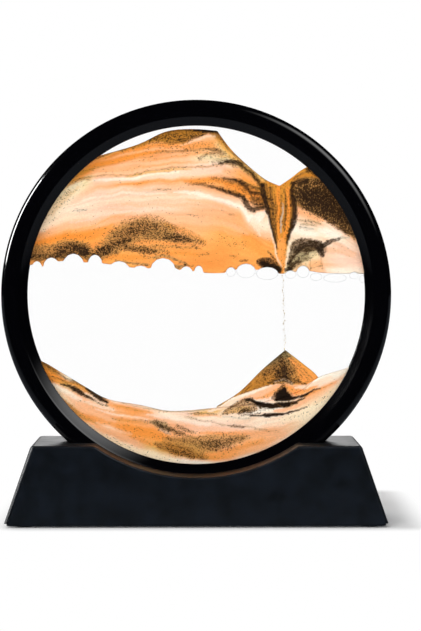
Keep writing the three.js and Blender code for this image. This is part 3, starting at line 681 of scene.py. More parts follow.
# Streaks: tone, strength, share of dark grains, softness in mm, and a path of x, z and width in mm
hangingStreaks = [
    # the top edge and the brown cap
    ("umber", 0.6, 0.35, 0.4, [(-46, 62.2, 0.4), (-40, 64.5, 0.5), (-30, 67.6, 0.6), (-25, 69.9, 0.8),
        (-15, 73.9, 0.9), (-5, 75.2, 0.9), (2, 75.1, 1)]),
    ("rust", 0.8, 0.2, 1.6, [(-34, 66.4, 0.8), (-26, 69, 2), (-18, 71.6, 3.6), (-10, 72.6, 4.6),
        (-3, 73.4, 4), (4, 74.2, 1.8)]),
    ("rust", 0.4, 0.3, 1.6, [(-22, 71.4, 1.2), (-14, 72, 2.8), (-7, 72, 3.4), (-1, 73, 2.4)]),
    ("black", 0.9, 0.7, 0.35, [(-1, 75, 0.8), (4, 74.8, 1.6), (8.6, 74.4, 1.7), (9.6, 73.6, 0.9)]),
    ("brown", 0.75, 0.3, 0.5, [(9.6, 73.2, 1), (12.5, 70.4, 1), (16, 65.6, 0.9), (21, 61.6, 0.9),
        (26, 57.8, 0.8), (31, 53.6, 0.8), (35, 50.3, 0.8)]),
    ("brown", 0.55, 0.34, 0.9, [(-13, 69.8, 0.8), (-9, 70.1, 1.2), (-5, 70.6, 1.4), (0, 72.1, 1.3),
        (5, 73.5, 1)]),
    ("cream", 0.5, 0, 0.8, [(-7, 68.8, 0.5), (0, 70.6, 0.9), (5, 72, 0.9), (9, 72.2, 0.7)]),
    ("orange", 0.5, 0.05, 1.2, [(-16, 66.6, 1.2), (-6, 67.8, 1.8), (2, 69, 2), (9, 69.8, 1.8)]),
    ("brown", 0.04, 0.09, 3, [(-24, 66.6, 2), (-10, 67, 4), (2, 67.4, 5), (10, 67, 5)]),
    # thin lines in the upper orange
    ("rust", 0.35, 0.12, 1, [(-34, 65.6, 0.5), (-24, 68, 1), (-14, 69.2, 1.2), (-4, 69.8, 1)]),
    ("rust", 0.3, 0.1, 0.8, [(-38, 61.4, 0.5), (-26, 64.6, 0.9), (-16, 66, 0.9), (-4, 66.6, 0.8)]),
    ("rust", 0.3, 0.06, 0.8, [(-50, 57, 0.8), (-40, 60, 0.9), (-30, 61.8, 0.7), (-18, 64, 0.5)]),
    ("brown", 0.42, 0.08, 0.8, [(-24, 64.4, 0.4), (-15, 65.6, 0.9), (-5, 66.1, 1), (4, 66.5, 1),
        (12, 66.2, 1)]),
    ("umber", 0.5, 0.3, 0.9, [(5, 66.6, 0.6), (9, 66.3, 1.4), (13, 65.4, 1.4)]),
    ("brown", 0.5, 0.2, 0.7, [(1, 63.2, 0.5), (5, 64.5, 0.9), (9, 65, 0.9), (13.5, 64.4, 0.8)]),
    ("deep", 0.75, 0.02, 1, [(-48, 58.8, 1.6), (-38, 61.2, 2), (-29, 62.8, 1.8), (-22, 65.2, 1.4),
        (-12, 67.2, 0.8)]),
    ("deep", 0.55, 0.02, 1, [(-41, 63, 0.8), (-31, 65.8, 1.4), (-22, 68, 1.6), (-13, 68.4, 1)]),
    ("peach", 0.55, 0, 0.8, [(-35, 63.8, 0.5), (-27, 65.4, 1), (-16, 66.8, 1.1), (-6, 67, 0.8)]),
    ("ochre", 0.4, 0.06, 0.9, [(-53, 55.6, 1.6), (-48, 57.4, 1.2), (-42, 58.6, 0.5)]),
    ("deep", 0.4, 0.05, 0.8, [(-30, 60.2, 0.4), (-16, 62.6, 0.9), (-2, 64.6, 0.9), (6, 65, 0.6)]),
    ("umber", 0.1, 0.16, 1.8, [(2, 62.6, 2.2), (9, 63.4, 3.6), (16, 62.2, 3.2)]),
    ("warm", 0.45, 0, 1, [(-42, 56.8, 0.6), (-25, 58.8, 1), (-8, 61, 1.2), (5, 61.2, 0.8)]),
    ("deep", 0.35, 0.02, 0.7, [(-44, 56.4, 0.4), (-30, 57.4, 0.8), (-16, 60, 0.8), (-2, 61.4, 0.6)]),
    # the speckled line and the pale bed under it
    ("rust", 0.55, 0.1, 0.9, [(-57, 52.2, 0.6), (-50, 54, 1), (-45, 54.7, 0.8), (-38, 54.9, 0.7),
        (-30, 55, 0.8), (-24, 56.3, 0.9), (-20, 57.2, 0.9), (-10, 58.5, 0.8), (-5, 59, 0.8), (5, 59.2, 0.8),
        (12, 59.9, 0.9), (17, 59.4, 0.8)]),
    ("ochre", 0.5, 0.16, 1.2, [(-58, 50.4, 1.4), (-54, 52.6, 2), (-48, 53.9, 1.2)]),
    ("gold", 0.75, 0.02, 0.7, [(-32, 54, 0.5), (-22, 55.9, 1.2), (-10, 57.4, 1.1), (-2, 58, 0.6)]),
    ("white", 0.55, 0, 0.8, [(-47, 52.6, 0.6), (-35, 53.1, 1.4), (-28, 53.6, 1.2), (-22, 55.3, 0.9),
        (-8, 56.6, 0.8)]),
    ("pink", 0.55, 0, 1, [(-24, 53.8, 1.4), (-8, 55, 1.8), (6, 56.2, 1.6), (12, 57.2, 1.2)]),
    ("deep", 0.5, 0.02, 0.9, [(-37, 50, 0.6), (-28, 51.4, 1.2), (-18, 52.6, 1.2), (-8, 52.5, 1),
        (2, 51, 1)]),
    ("deep", 0.7, 0.06, 1.4, [(-6, 51.6, 0.8), (2, 52, 2.4), (9, 52.8, 3), (14, 51.4, 2), (18, 49.4, 1.4)]),
    ("brown", 0.5, 0.25, 0.9, [(-5, 51, 0.5), (1, 50.6, 1.2), (6, 49.8, 1.2), (12, 48.4, 0.9)]),
    ("olive", 0.5, 0.22, 0.5, [(-20.5, 48.2, 0.5), (-16, 48.7, 0.9), (-11.5, 49.1, 0.5)]),
    ("grey", 0.3, 0.04, 0.4, [(-32, 45.4, 0.4), (-26, 46.6, 0.5), (-20, 47.8, 0.4)]),
    ("peach", 0.55, 0, 1, [(-41, 46.6, 0.6), (-25, 48.4, 1.2), (-8, 49.6, 1)]),
    ("peach", 0.4, 0, 0.8, [(-44, 42.4, 0.5), (-34, 43.4, 0.9), (-24, 45.4, 0.8), (-10, 46.2, 0.5)]),
    ("white", 0.35, 0, 0.9, [(-52, 43.6, 0.8), (-40, 45.6, 1.2), (-28, 46.8, 1), (-14, 46.6, 0.7)]),
    # the pale streak that falls to the right
    ("white", 0.65, 0, 0.9, [(-10, 47.6, 0.6), (-3, 47, 1.3), (2, 46, 1.5), (8, 44.4, 1.6), (14, 42.6, 1.6),
        (20, 40.2, 1.6), (22.4, 38.2, 1.6), (24, 34.5, 1.2)]),
    ("warm", 0.5, 0, 1.2, [(-4, 44, 0.8), (6, 42.6, 1.6), (12, 40.6, 1.8), (18, 38.2, 1.4), (21, 36.2, 1)]),
    ("peach", 0.5, 0, 1.6, [(-34, 42, 1), (-20, 40.8, 2.2), (-4, 41.4, 1.6)]),
    ("brown", 0.35, 0.16, 0.6, [(14.5, 37.1, 0.5), (17.5, 36.9, 0.7)]),
    ("brown", 0.12, 0.2, 0.6, [(-4, 36.6, 0.5), (1, 36.2, 0.8), (4, 36, 0.5)]),
    ("cream", 0.4, 0, 1.6, [(-62, 36, 3), (-52, 40, 3.4), (-40, 43, 2.6), (-26, 44.6, 2)]),
    # the left side by the ring
    ("straw", 0.6, 0.04, 2.4, [(-70, 31, 4), (-64, 39, 5.4), (-57, 47, 5), (-53, 51, 2)]),
    ("gold", 0.35, 0.02, 1.2, [(-66, 36.4, 1.2), (-60, 43.6, 1.6), (-54, 49.6, 1.2)]),
    ("gold", 0.28, 0.1, 1.2, [(-69, 35, 1.6), (-63, 42.6, 1.8), (-58, 48, 1.6)]),
    ("grey", 0.5, 0.16, 0.8, [(-56, 38.6, 0.6), (-53, 38.9, 1.2), (-50, 39.4, 0.6)]),
    ("peach", 0.7, 0, 0.9, [(-66, 29.4, 0.6), (-60, 30.8, 1.2), (-50, 32.2, 1.2), (-45, 34, 1.2),
        (-36, 36.8, 0.8), (-26, 38.4, 0.5)]),
    ("pink", 0.6, 0, 0.7, [(-58, 33.2, 0.6), (-49, 34.8, 1), (-42, 37.2, 0.9), (-32, 38.6, 0.6)]),
    ("orange", 0.5, 0, 0.8, [(-62, 28.6, 0.5), (-54, 30.4, 0.9), (-47, 32, 0.9), (-40, 35.2, 0.8),
        (-33, 36.8, 0.5)]),
    ("deep", 0.65, 0.02, 1.4, [(-74, 23.4, 1.4), (-64, 26.6, 2.2), (-54, 28.2, 2.6), (-45, 30.2, 1.6),
        (-38, 32.4, 1)]),
    ("deep", 0.5, 0.03, 1.2, [(-60, 25.4, 1), (-52, 26, 2), (-47, 26.2, 1.6), (-42, 28.6, 1)]),
    # dark patch on the left
    ("tan", 0.8, 0.34, 2.4, [(-77, 19.6, 5.6), (-71, 19.4, 7), (-65, 19.4, 8), (-59, 20.6, 8.8),
        (-53, 20.6, 8.4), (-49.4, 19.4, 4.6)]),
    ("brown", 0.4, 0.48, 2.6, [(-64, 19.8, 3), (-58, 21.4, 5), (-53, 20.8, 5.6), (-49.6, 19.6, 3.4)]),
    ("umber", 0.3, 0.42, 2.2, [(-77, 18, 3), (-71, 17, 3.4), (-64, 18, 3.4), (-57, 18.6, 3)]),
    ("umber", 0.4, 0.55, 1.8, [(-55, 21.6, 2), (-51.6, 20, 3.6), (-50, 17, 2.4)]),
    ("tan", 0.8, 0.4, 1.8, [(-49, 16.6, 3), (-45, 17.6, 4), (-41, 18.6, 4.4), (-37, 20, 4)]),
    ("umber", 0.4, 0.5, 1.2, [(-48, 17, 1.6), (-44, 18.4, 2.2), (-40, 19.2, 2.2)]),
    # the large dark patch
    ("tan", 0.85, 0.32, 4.4, [(-45, 20.8, 2.6), (-41, 22.8, 5.6), (-37, 25.4, 8.4), (-33, 27.4, 10.6),
        (-28, 28.8, 12), (-23, 29.8, 11.6), (-18, 30, 10), (-13, 28.8, 7.6)]),
    ("brown", 0.35, 0.4, 3.2, [(-45, 20.6, 2.4), (-40, 22.4, 3.6), (-35, 25.6, 4.6), (-29, 29.4, 5.6),
        (-24, 31, 5), (-19, 31.4, 3.4)]),
    ("umber", 0.35, 0.5, 2.2, [(-46, 20, 2), (-42, 20.6, 2.6), (-38, 22, 2.8), (-34, 23.8, 2.4),
        (-30, 25.4, 1.6)]),
    ("tan", 0.7, 0.38, 2.8, [(-21, 28.6, 4.4), (-14, 27.4, 5), (-8, 25.8, 4.8), (-2, 24.9, 3.4),
        (2.4, 24, 1.6)]),
    ("umber", 0.3, 0.5, 1.4, [(-14, 27.2, 2), (-7, 25.4, 2.8), (-2.6, 24.8, 1.8)]),
    ("tan", 0.65, 0.34, 2.4, [(-37, 21.8, 2.4), (-29, 21.4, 3.4), (-23, 20.4, 3.8), (-17, 20, 3),
        (-13, 19.4, 1.2)]),
    ("umber", 0.3, 0.45, 1.8, [(-32, 21.4, 1.4), (-27, 20.6, 2.2), (-20, 19.8, 2)]),
    ("tan", 0.5, 0.26, 1, [(-21, 22.8, 1.2), (-14, 22.4, 1.6), (-7, 21.8, 1), (0, 21.8, 0.6)]),
    ("orange", 0.7, 0.06, 1.2, [(-28, 23.4, 1), (-21, 24.6, 1.8), (-14, 24, 1.6), (-8, 23, 1)]),
    ("deep", 0.6, 0.02, 1.2, [(-42, 16.4, 1.8), (-36, 17.6, 2.6), (-30, 17.2, 2.4), (-24, 16.8, 1.6)]),
    ("deep", 0.5, 0.03, 1.2, [(-16, 18.4, 1.4), (-8, 19, 1.8), (0, 18.6, 1.4)]),
    ("ochre", 0.4, 0.16, 1.6, [(-14, 32.5, 1.6), (-8, 30, 2.6), (-1, 27.2, 2.4), (4, 24.6, 1.6)]),
    ("olive", 0.55, 0.2, 0.8, [(-20, 17, 0.8), (-15, 17.9, 1.1), (-11, 16.8, 1), (-8, 15.6, 1.1),
        (-5, 14.6, 0.8)]),
    ("olive", 0.5, 0.25, 0.8, [(-37, 15.6, 0.8), (-31, 14.8, 1.4), (-27, 13.8, 1.2), (-22, 13.4, 1)]),
    ("tan", 0.4, 0.18, 1.2, [(-26, 18, 1), (-20, 16.6, 1.8), (-14, 15.4, 1.4)]),
    ("olive", 0.6, 0.35, 0.8, [(-10.6, 13.8, 0.9), (-8, 12.8, 1.8), (-5, 13.4, 1.2)]),
    ("brown", 0.2, 0.26, 0.9, [(-1.6, 22.2, 0.8), (1.4, 21.6, 0.8)]),
    ("brown", 0.25, 0.26, 0.9, [(1, 18.8, 1), (5.4, 19.2, 1)]),
    ("brown", 0.3, 0.22, 0.7, [(-5, 13.8, 1), (-1, 13.2, 0.9)]),
    # orange body on the right
    ("deep", 0.4, 0, 3, [(21, 27, 3), (26.4, 23.6, 6), (31, 19, 4)]),
    ("warm", 0.5, 0, 2, [(-2, 31, 1.4), (10, 30.4, 2.4), (20, 27.6, 1.8)]),
    ("peach", 0.45, 0, 1.4, [(12, 34.2, 1), (18, 31.6, 1.6), (23, 27.6, 1.2)]),
    ("umber", 0.04, 0.08, 2.4, [(9, 25.6, 3), (15, 24.4, 4), (21, 23, 2)]),
    ("brown", 0.55, 0.18, 0.5, [(15.6, 17.7, 0.5), (18.4, 17.4, 0.6)]),
    ("brown", 0.55, 0.26, 0.5, [(20.2, 15.7, 0.8), (23.6, 15.8, 0.9)]),
    ("peach", 0.5, 0, 1.4, [(-12, 34, 1), (-2, 32.8, 1.8), (10, 33, 1.8), (20, 31, 1)]),
    # dark streaks that run down to the funnel
    ("gold", 0.7, 0.1, 1, [(11, 63.6, 0.8), (17, 62.6, 1.4), (22, 60.2, 1.4), (26, 57, 1.6),
        (30, 52.8, 1.4)]),
    ("umber", 0.25, 0.3, 1.8, [(8, 60.8, 1.6), (14, 60.8, 3), (19, 60, 3.8), (23, 57.8, 3.2),
        (27, 53.8, 2.6), (30, 50, 2)]),
    ("black", 0.75, 0.6, 0.7, [(10.5, 60.2, 0.5), (14, 60.8, 1.2), (17.5, 60.8, 2), (20, 60.2, 2),
        (22, 58.8, 1.5), (24, 57.2, 1.3), (26, 55.2, 1.2), (28, 52.8, 1.1), (30.6, 49.7, 1.3)]),
    ("umber", 0.25, 0.3, 2, [(8, 53.4, 1.6), (14, 53, 2.8), (20, 50.6, 4.4), (24, 47.6, 4.4),
        (29, 46.6, 4)]),
    ("black", 0.75, 0.55, 0.7, [(12, 53.6, 0.5), (17, 53, 1.2), (20, 51.8, 1.8), (22, 50.3, 1.8),
        (23.6, 48.4, 1.6), (25, 46.8, 1.6), (29, 46.7, 1.5), (30.6, 45.2, 1.2)]),
    ("umber", 0.7, 0.45, 0.6, [(20.6, 52.2, 0.7), (23, 50.7, 1.2), (25.4, 49.6, 1.2), (29, 49, 1)]),
    ("umber", 0.25, 0.28, 1.6, [(2, 50.6, 1), (8, 49.6, 2), (14, 47.8, 2.6), (19, 45.8, 3),
        (22.6, 42.4, 3)]),
    ("black", 0.75, 0.6, 0.8, [(6, 49.8, 0.5), (12, 48, 1.2), (17, 46.2, 1.6), (20, 45.4, 1.8),
        (21.7, 44.2, 2), (22.8, 42.2, 2), (24, 40.2, 2.2), (26, 38.9, 2.2), (28, 39.4, 2),
        (31, 40.2, 1.6)]),
    ("umber", 0.6, 0.55, 1.3, [(25.6, 43.4, 3), (28.2, 42.4, 5), (30.6, 42.6, 4)]),
    ("deep", 0.8, 0.1, 0.9, [(23.4, 47.2, 0.8), (24.2, 45, 1.6), (24.8, 43, 1.2)]),
    ("deep", 0.65, 0.08, 1, [(13, 51, 1), (17.4, 49.6, 1.8), (20.4, 47.8, 1.4)]),
    ("orange", 0.5, 0.04, 1, [(17, 57.6, 0.8), (21, 56.2, 1.8), (24.6, 53.2, 1.8), (27.4, 50.8, 1.2)]),
    ("warm", 0.5, 0.03, 1, [(12, 57, 1), (17, 55.8, 1.6), (21, 53.8, 1)]),
    # the pale V beside the funnel
    ("white", 0.75, 0, 1.2, [(24.4, 35.6, 2), (27, 34.8, 4.4), (29.4, 36.4, 3.2), (31, 38, 1.2)]),
    ("cream", 0.7, 0, 1.6, [(26.2, 33.6, 3.4), (27.8, 30.6, 2.6), (28.8, 27.6, 1)])]

funnelStreaks = [
    ("ochre", 1, 0.12, 0.8, [(38, 47.6, 14.4), (38.4, 44, 13), (38.8, 40, 12.2), (39.2, 36, 11.6),
        (39.3, 32, 9.8), (39.3, 28, 8), (39.3, 24, 5.6), (39.3, 18, 3.4), (39.3, 12, 1.5),
        (39.3, 9.4, 0.5)]),
    ("deep", 0.75, 0.06, 0.8, [(37.6, 50, 1.6), (37.6, 40, 1.8), (38, 30, 1.5), (38.8, 20, 1.8),
        (39.2, 11, 1)]),
    ("deep", 0.7, 0.06, 0.9, [(42.4, 48, 2.4), (42.6, 40, 2.2), (41.8, 32, 2), (40.6, 24, 1.8),
        (39.6, 15, 1.2)]),
    ("umber", 0.6, 0.42, 0.7, [(34.2, 49, 1.4), (34.8, 42, 1.4), (35.6, 36, 1.2), (36.4, 30, 0.8)]),
    ("umber", 0.45, 0.4, 0.6, [(36.3, 45, 0.7), (36.6, 36, 0.9), (37.2, 27, 0.6)]),
    ("umber", 0.55, 0.42, 0.6, [(40.8, 48, 0.7), (41, 38, 1.1), (40.9, 30, 0.8)]),
    ("umber", 0.3, 0.3, 0.6, [(38.8, 46, 0.6), (38.6, 40, 0.7), (38.7, 33, 0.5)]),
    ("grey", 0.85, 0, 0.4, [(39.4, 42, 0.4), (39.4, 36, 0.8), (39.4, 29, 0.6)]),
    ("umber", 0.35, 0.4, 1.4, [(31.4, 50.6, 2.6), (32.4, 44, 3.4), (33.6, 38, 3), (35.2, 31, 2.2),
        (36.8, 25, 1.2)]),
    ("black", 0.8, 0.65, 0.7, [(30.6, 50.6, 1.8), (31.4, 46, 2.2), (32.2, 41, 2.1), (33.3, 36, 1.9),
        (34.7, 31, 1.6), (36.1, 27, 1.2), (37.3, 21.6, 0.7)]),
    ("umber", 0.35, 0.4, 1.4, [(44, 50.6, 2), (44, 44, 2.6), (44.6, 38, 3), (44.2, 32, 2.4),
        (42.8, 27, 1.6)]),
    ("black", 0.8, 0.65, 0.7, [(44.4, 51, 1.4), (44.1, 46, 1.8), (44.7, 41, 1.9), (45.2, 36, 2.2),
        (44.6, 33, 2.2), (43.6, 30, 1.8), (42.6, 26.6, 1.4), (41.9, 23.4, 0.9)]),
    ("cream", 0.8, 0, 0.4, [(31.8, 37.6, 0.8), (33.2, 33, 0.8), (35, 27.4, 0.8), (36.6, 21.4, 0.7),
        (38.5, 13, 0.5)]),
    ("orange", 0.95, 0.03, 0.5, [(39.3, 24, 4), (39.3, 18, 2.7), (39.3, 12, 1)]),
    ("cream", 0.7, 0, 0.4, [(43, 23.6, 0.7), (41.5, 17, 0.7), (40.4, 11.6, 0.5)]),
    ("umber", 0.6, 0.4, 0.8, [(33, 20.6, 0.5), (35.2, 17.8, 1), (37.2, 14.8, 0.8)]),
    ("umber", 0.8, 0.55, 0.9, [(28.4, 15.4, 2), (31.2, 14.8, 5), (34, 13.6, 6), (36.4, 12, 4.4)]),
    ("black", 0.7, 0.8, 0.7, [(30, 14.8, 1.8), (33.6, 13, 3.2), (36.2, 12.2, 3.4), (37.8, 11.2, 1.8)]),
    ("black", 0.8, 0.7, 0.5, [(40.6, 11.8, 1.4), (43, 11.2, 2)])]

rightStreaks = [
    ("brown", 0.6, 0.3, 0.8, [(44.6, 53.2, 0.8), (49, 55.8, 1), (52, 57.2, 1)]),
    ("umber", 0.5, 0.6, 1, [(50.6, 57.6, 1.4), (53.6, 57, 3), (57, 54.6, 3)]),
    ("tan", 0.85, 0.8, 2, [(49.8, 46.4, 11.4), (53, 46, 15), (57, 44.2, 16.4), (61, 41.6, 15),
        (65, 38.4, 13.4), (69, 34.6, 11.6), (72, 31.6, 9)]),
    ("black", 0.5, 0.53, 2.6, [(49, 44.6, 5), (54, 43.6, 9), (59, 41.4, 10), (64, 37.6, 8.4), (68, 34, 5)]),
    ("tan", 0.6, 0.5, 1.2, [(45.6, 42.4, 1.6), (50, 41.2, 2.4), (56, 38.8, 2.4), (62, 35.6, 2.4),
        (67, 31.8, 2.6), (71, 28.6, 2.4), (74, 25.6, 1.6)]),
    ("umber", 0.5, 0.6, 0.9, [(44.6, 50.6, 1.2), (47, 51.8, 2.4), (50, 52.2, 3)]),
    ("warm", 0.6, 0.04, 1, [(45.4, 39, 1.6), (49, 38, 2), (53.6, 35.8, 2), (58, 34.2, 1)]),
    ("olive", 0.5, 0.2, 0.7, [(46.4, 33.9, 0.6), (50, 33.8, 1.2), (54, 33.6, 1.2), (57, 32.2, 0.6)]),
    ("olive", 0.45, 0.2, 0.6, [(48, 32, 0.6), (51, 32.2, 1.1), (55, 31.8, 1)]),
    ("grey", 0.6, 0.08, 0.8, [(47.4, 31, 0.6), (51, 30.6, 1.2), (54, 30, 0.8)]),
    ("white", 0.7, 0, 1.6, [(57, 29.6, 2), (61.6, 29, 3.2), (65.6, 27.4, 2.2)]),
    ("white", 0.6, 0, 1.2, [(45.8, 29.6, 2.4), (50, 28.8, 2.2), (55, 28, 1.8)]),
    ("beige", 0.6, 0.05, 1.2, [(42.6, 29.4, 1.6), (42.2, 25, 1.6), (41.6, 20.6, 1.2)]),
    # the dark arch and the speckled ground under it
    ("olive", 0.8, 0.42, 1.4, [(42.6, 13, 3), (45.4, 16.6, 5.6), (49, 18.6, 6.6), (52.4, 20, 6)]),
    ("umber", 0.75, 0.55, 1, [(42, 14.6, 2), (43.8, 19.4, 3.6), (46.6, 22.4, 5.2), (50, 23, 6.6),
        (53.6, 23.2, 5.2), (56.6, 22.2, 4.2)]),
    ("black", 0.45, 0.5, 0.9, [(45.4, 20.6, 1.8), (48.6, 22.6, 2.8), (53, 24, 3), (56.6, 22.2, 4.4),
        (58.8, 20.8, 2.4)]),
    ("black", 0.8, 0.7, 0.6, [(56.2, 21.6, 2.6), (57.4, 19.4, 2.6), (58.2, 17.8, 1)]),
    ("black", 0.75, 0.55, 0.7, [(57.6, 22.8, 2), (60, 24.4, 2), (62.8, 25.4, 1.6), (65.4, 25.8, 1)]),
    ("grey", 0.6, 0.12, 0.8, [(64.4, 25.8, 0.8), (67, 26.8, 1), (70, 26.6, 0.6)]),
    ("beige", 0.75, 0.1, 0.8, [(52.6, 18.6, 1.6), (54.6, 18.6, 2.8), (56, 18.2, 1.4)]),
    ("umber", 0.35, 0.55, 1, [(42, 12, 2.4), (44.6, 13.4, 3.6), (47, 15.4, 2.4)]),
    ("beige", 0.5, 0.12, 1, [(47.6, 12.2, 1.2), (50.6, 14.2, 1.6), (52.6, 15.6, 1)]),
    ("warm", 0.6, 0.02, 1, [(53, 14.6, 2.6), (55.6, 14.6, 3.2), (57.2, 14, 1.6)]),
    ("brown", 0.5, 0.12, 0.4, [(52.6, 12.8, 0.5), (57.6, 12.8, 0.6)]),
    ("brown", 0.4, 0.12, 0.4, [(52.4, 16.4, 0.5), (52.5, 11, 0.6)]),
    ("brown", 0.45, 0.12, 0.4, [(57.5, 17.2, 0.5), (57.6, 11.4, 0.6)]),
    ("peach", 0.5, 0, 2, [(60, 21.5, 2), (66, 20.5, 3), (72, 18.5, 3)]),
    ("white", 0.45, 0, 1.6, [(60, 11, 2), (67, 11.6, 2.6), (75, 11, 2.4)]),
    ("pink", 0.6, 0, 1.6, [(61, 16.4, 2), (68, 15.6, 3), (75, 14, 2)])]

settledLayers = [
    [(-78, -24, "brown"), (-71.5, -30, "brown"), (-64.3, -35.6, "ochre"), (-58.8, -38.2, "straw"),
        (-53.2, -40.8, "gold"), (-47.1, -43.3, "straw"), (-42.6, -46, "straw"), (-37.6, -48, "cream"),
        (-31, -49, "pink"), (-22.6, -51.6, "cream"), (-14.3, -53.1, "cream"), (-6, -53.1, "cream"),
        (2.4, -52.1, "cream"), (8.4, -51.8, "pink"), (24, -44, "cream"), (40.7, -38.5, "cream"),
        (55.5, -37.8, "white"), (66.2, -34.7, "white"), (78, -29, "white")],
    [(-78, -27, "ochre"), (-70, -33.5, "ochre"), (-64, -37.5, "deep"), (-58, -40, "ochre"),
        (-52, -42.3, "ochre"), (-47, -45, "ochre"), (-42, -48, "warm"), (-37, -49.8, "peach"),
        (-31, -51, "peach"), (-22, -53.4, "peach"), (-14, -55, "cream"), (-4, -54.6, "pink"),
        (2.4, -53.8, "gold"), (9, -53.6, "gold"), (16, -50.6, "cream"), (24, -46.4, "cream"),
        (31, -44, "pink"), (40.7, -41.5, "orange"), (48, -42.4, "peach"), (56, -40.5, "cream"),
        (66, -37, "cream"), (78, -31, "cream")],
    [(-78, -33, "ochre"), (-66, -39.4, "deep"), (-60, -41, "gold"), (-54, -44.4, "peach"),
        (-47, -48, "cream"), (-42, -50.5, "cream"), (-36, -52.5, "warm"), (-28, -54, "orange"),
        (-20, -55.5, "peach"), (-10, -57.3, "cream"), (0, -56.8, "cream"), (9, -55.6, "cream"),
        (20, -56, "cream"), (30, -52.4, "white"), (38, -51.6, "cream"), (46, -48, "warm"),
        (56, -44, "warm"), (64, -40, "peach"), (78, -33, "cream")],
    [(-78, -40, "cream"), (-66, -41, "cream"), (-60, -45, "cream"), (-52, -49, "peach"),
        (-42, -53, "peach"), (-30, -57, "warm"), (-20, -58.6, "peach"), (-10, -60, "peach"),
        (0, -60.8, "pink"), (10, -61.4, "pink"), (20, -62, "pink"), (28, -60, "cream"),
        (38, -57.4, "cream"), (48, -54, "straw"), (60, -48, "straw"), (78, -40, "straw")],
    [(-78, -46, "straw"), (-62, -46, "straw"), (-54, -52, "peach"), (-44, -56.5, "warm"),
        (-30, -60.4, "orange"), (-20, -61.8, "orange"), (-10, -64, "warm"), (0, -64.4, "warm"),
        (10, -64.4, "warm"), (20, -64, "warm"), (30, -63, "warm"), (38, -62, "peach"), (50, -58, "straw"),
        (64, -50, "straw")],
    [(-78, -52, "straw"), (-58, -52, "gold"), (-50, -57, "orange"), (-40, -60.6, "peach"),
        (-30, -64, "orange"), (-20, -66, "orange"), (-10, -68.5, "ochre"), (0, -69.5, "gold"),
        (10, -69.5, "warm"), (20, -69, "warm"), (30, -67, "warm"), (40, -65, "peach"), (50, -60, "straw")],
    [(-60, -58, "straw"), (-48, -61.6, "peach"), (-36, -66.6, "peach"), (-28, -68.6, "peach"),
        (-20, -70, "gold"), (-10, -73.2, "ochre"), (0, -75, "ochre"), (10, -75.4, "orange"),
        (20, -73, "warm"), (32, -69.6, "peach"), (44, -64, "cream")],
    [(-60, -62, "straw"), (-40, -69, "straw"), (-28, -72.6, "straw"), (-16, -75.6, "straw"),
        (-6, -77.2, "cream"), (4, -77.4, "cream"), (14, -76.8, "pink"), (24, -74.4, "cream"),
        (36, -70, "cream")]]

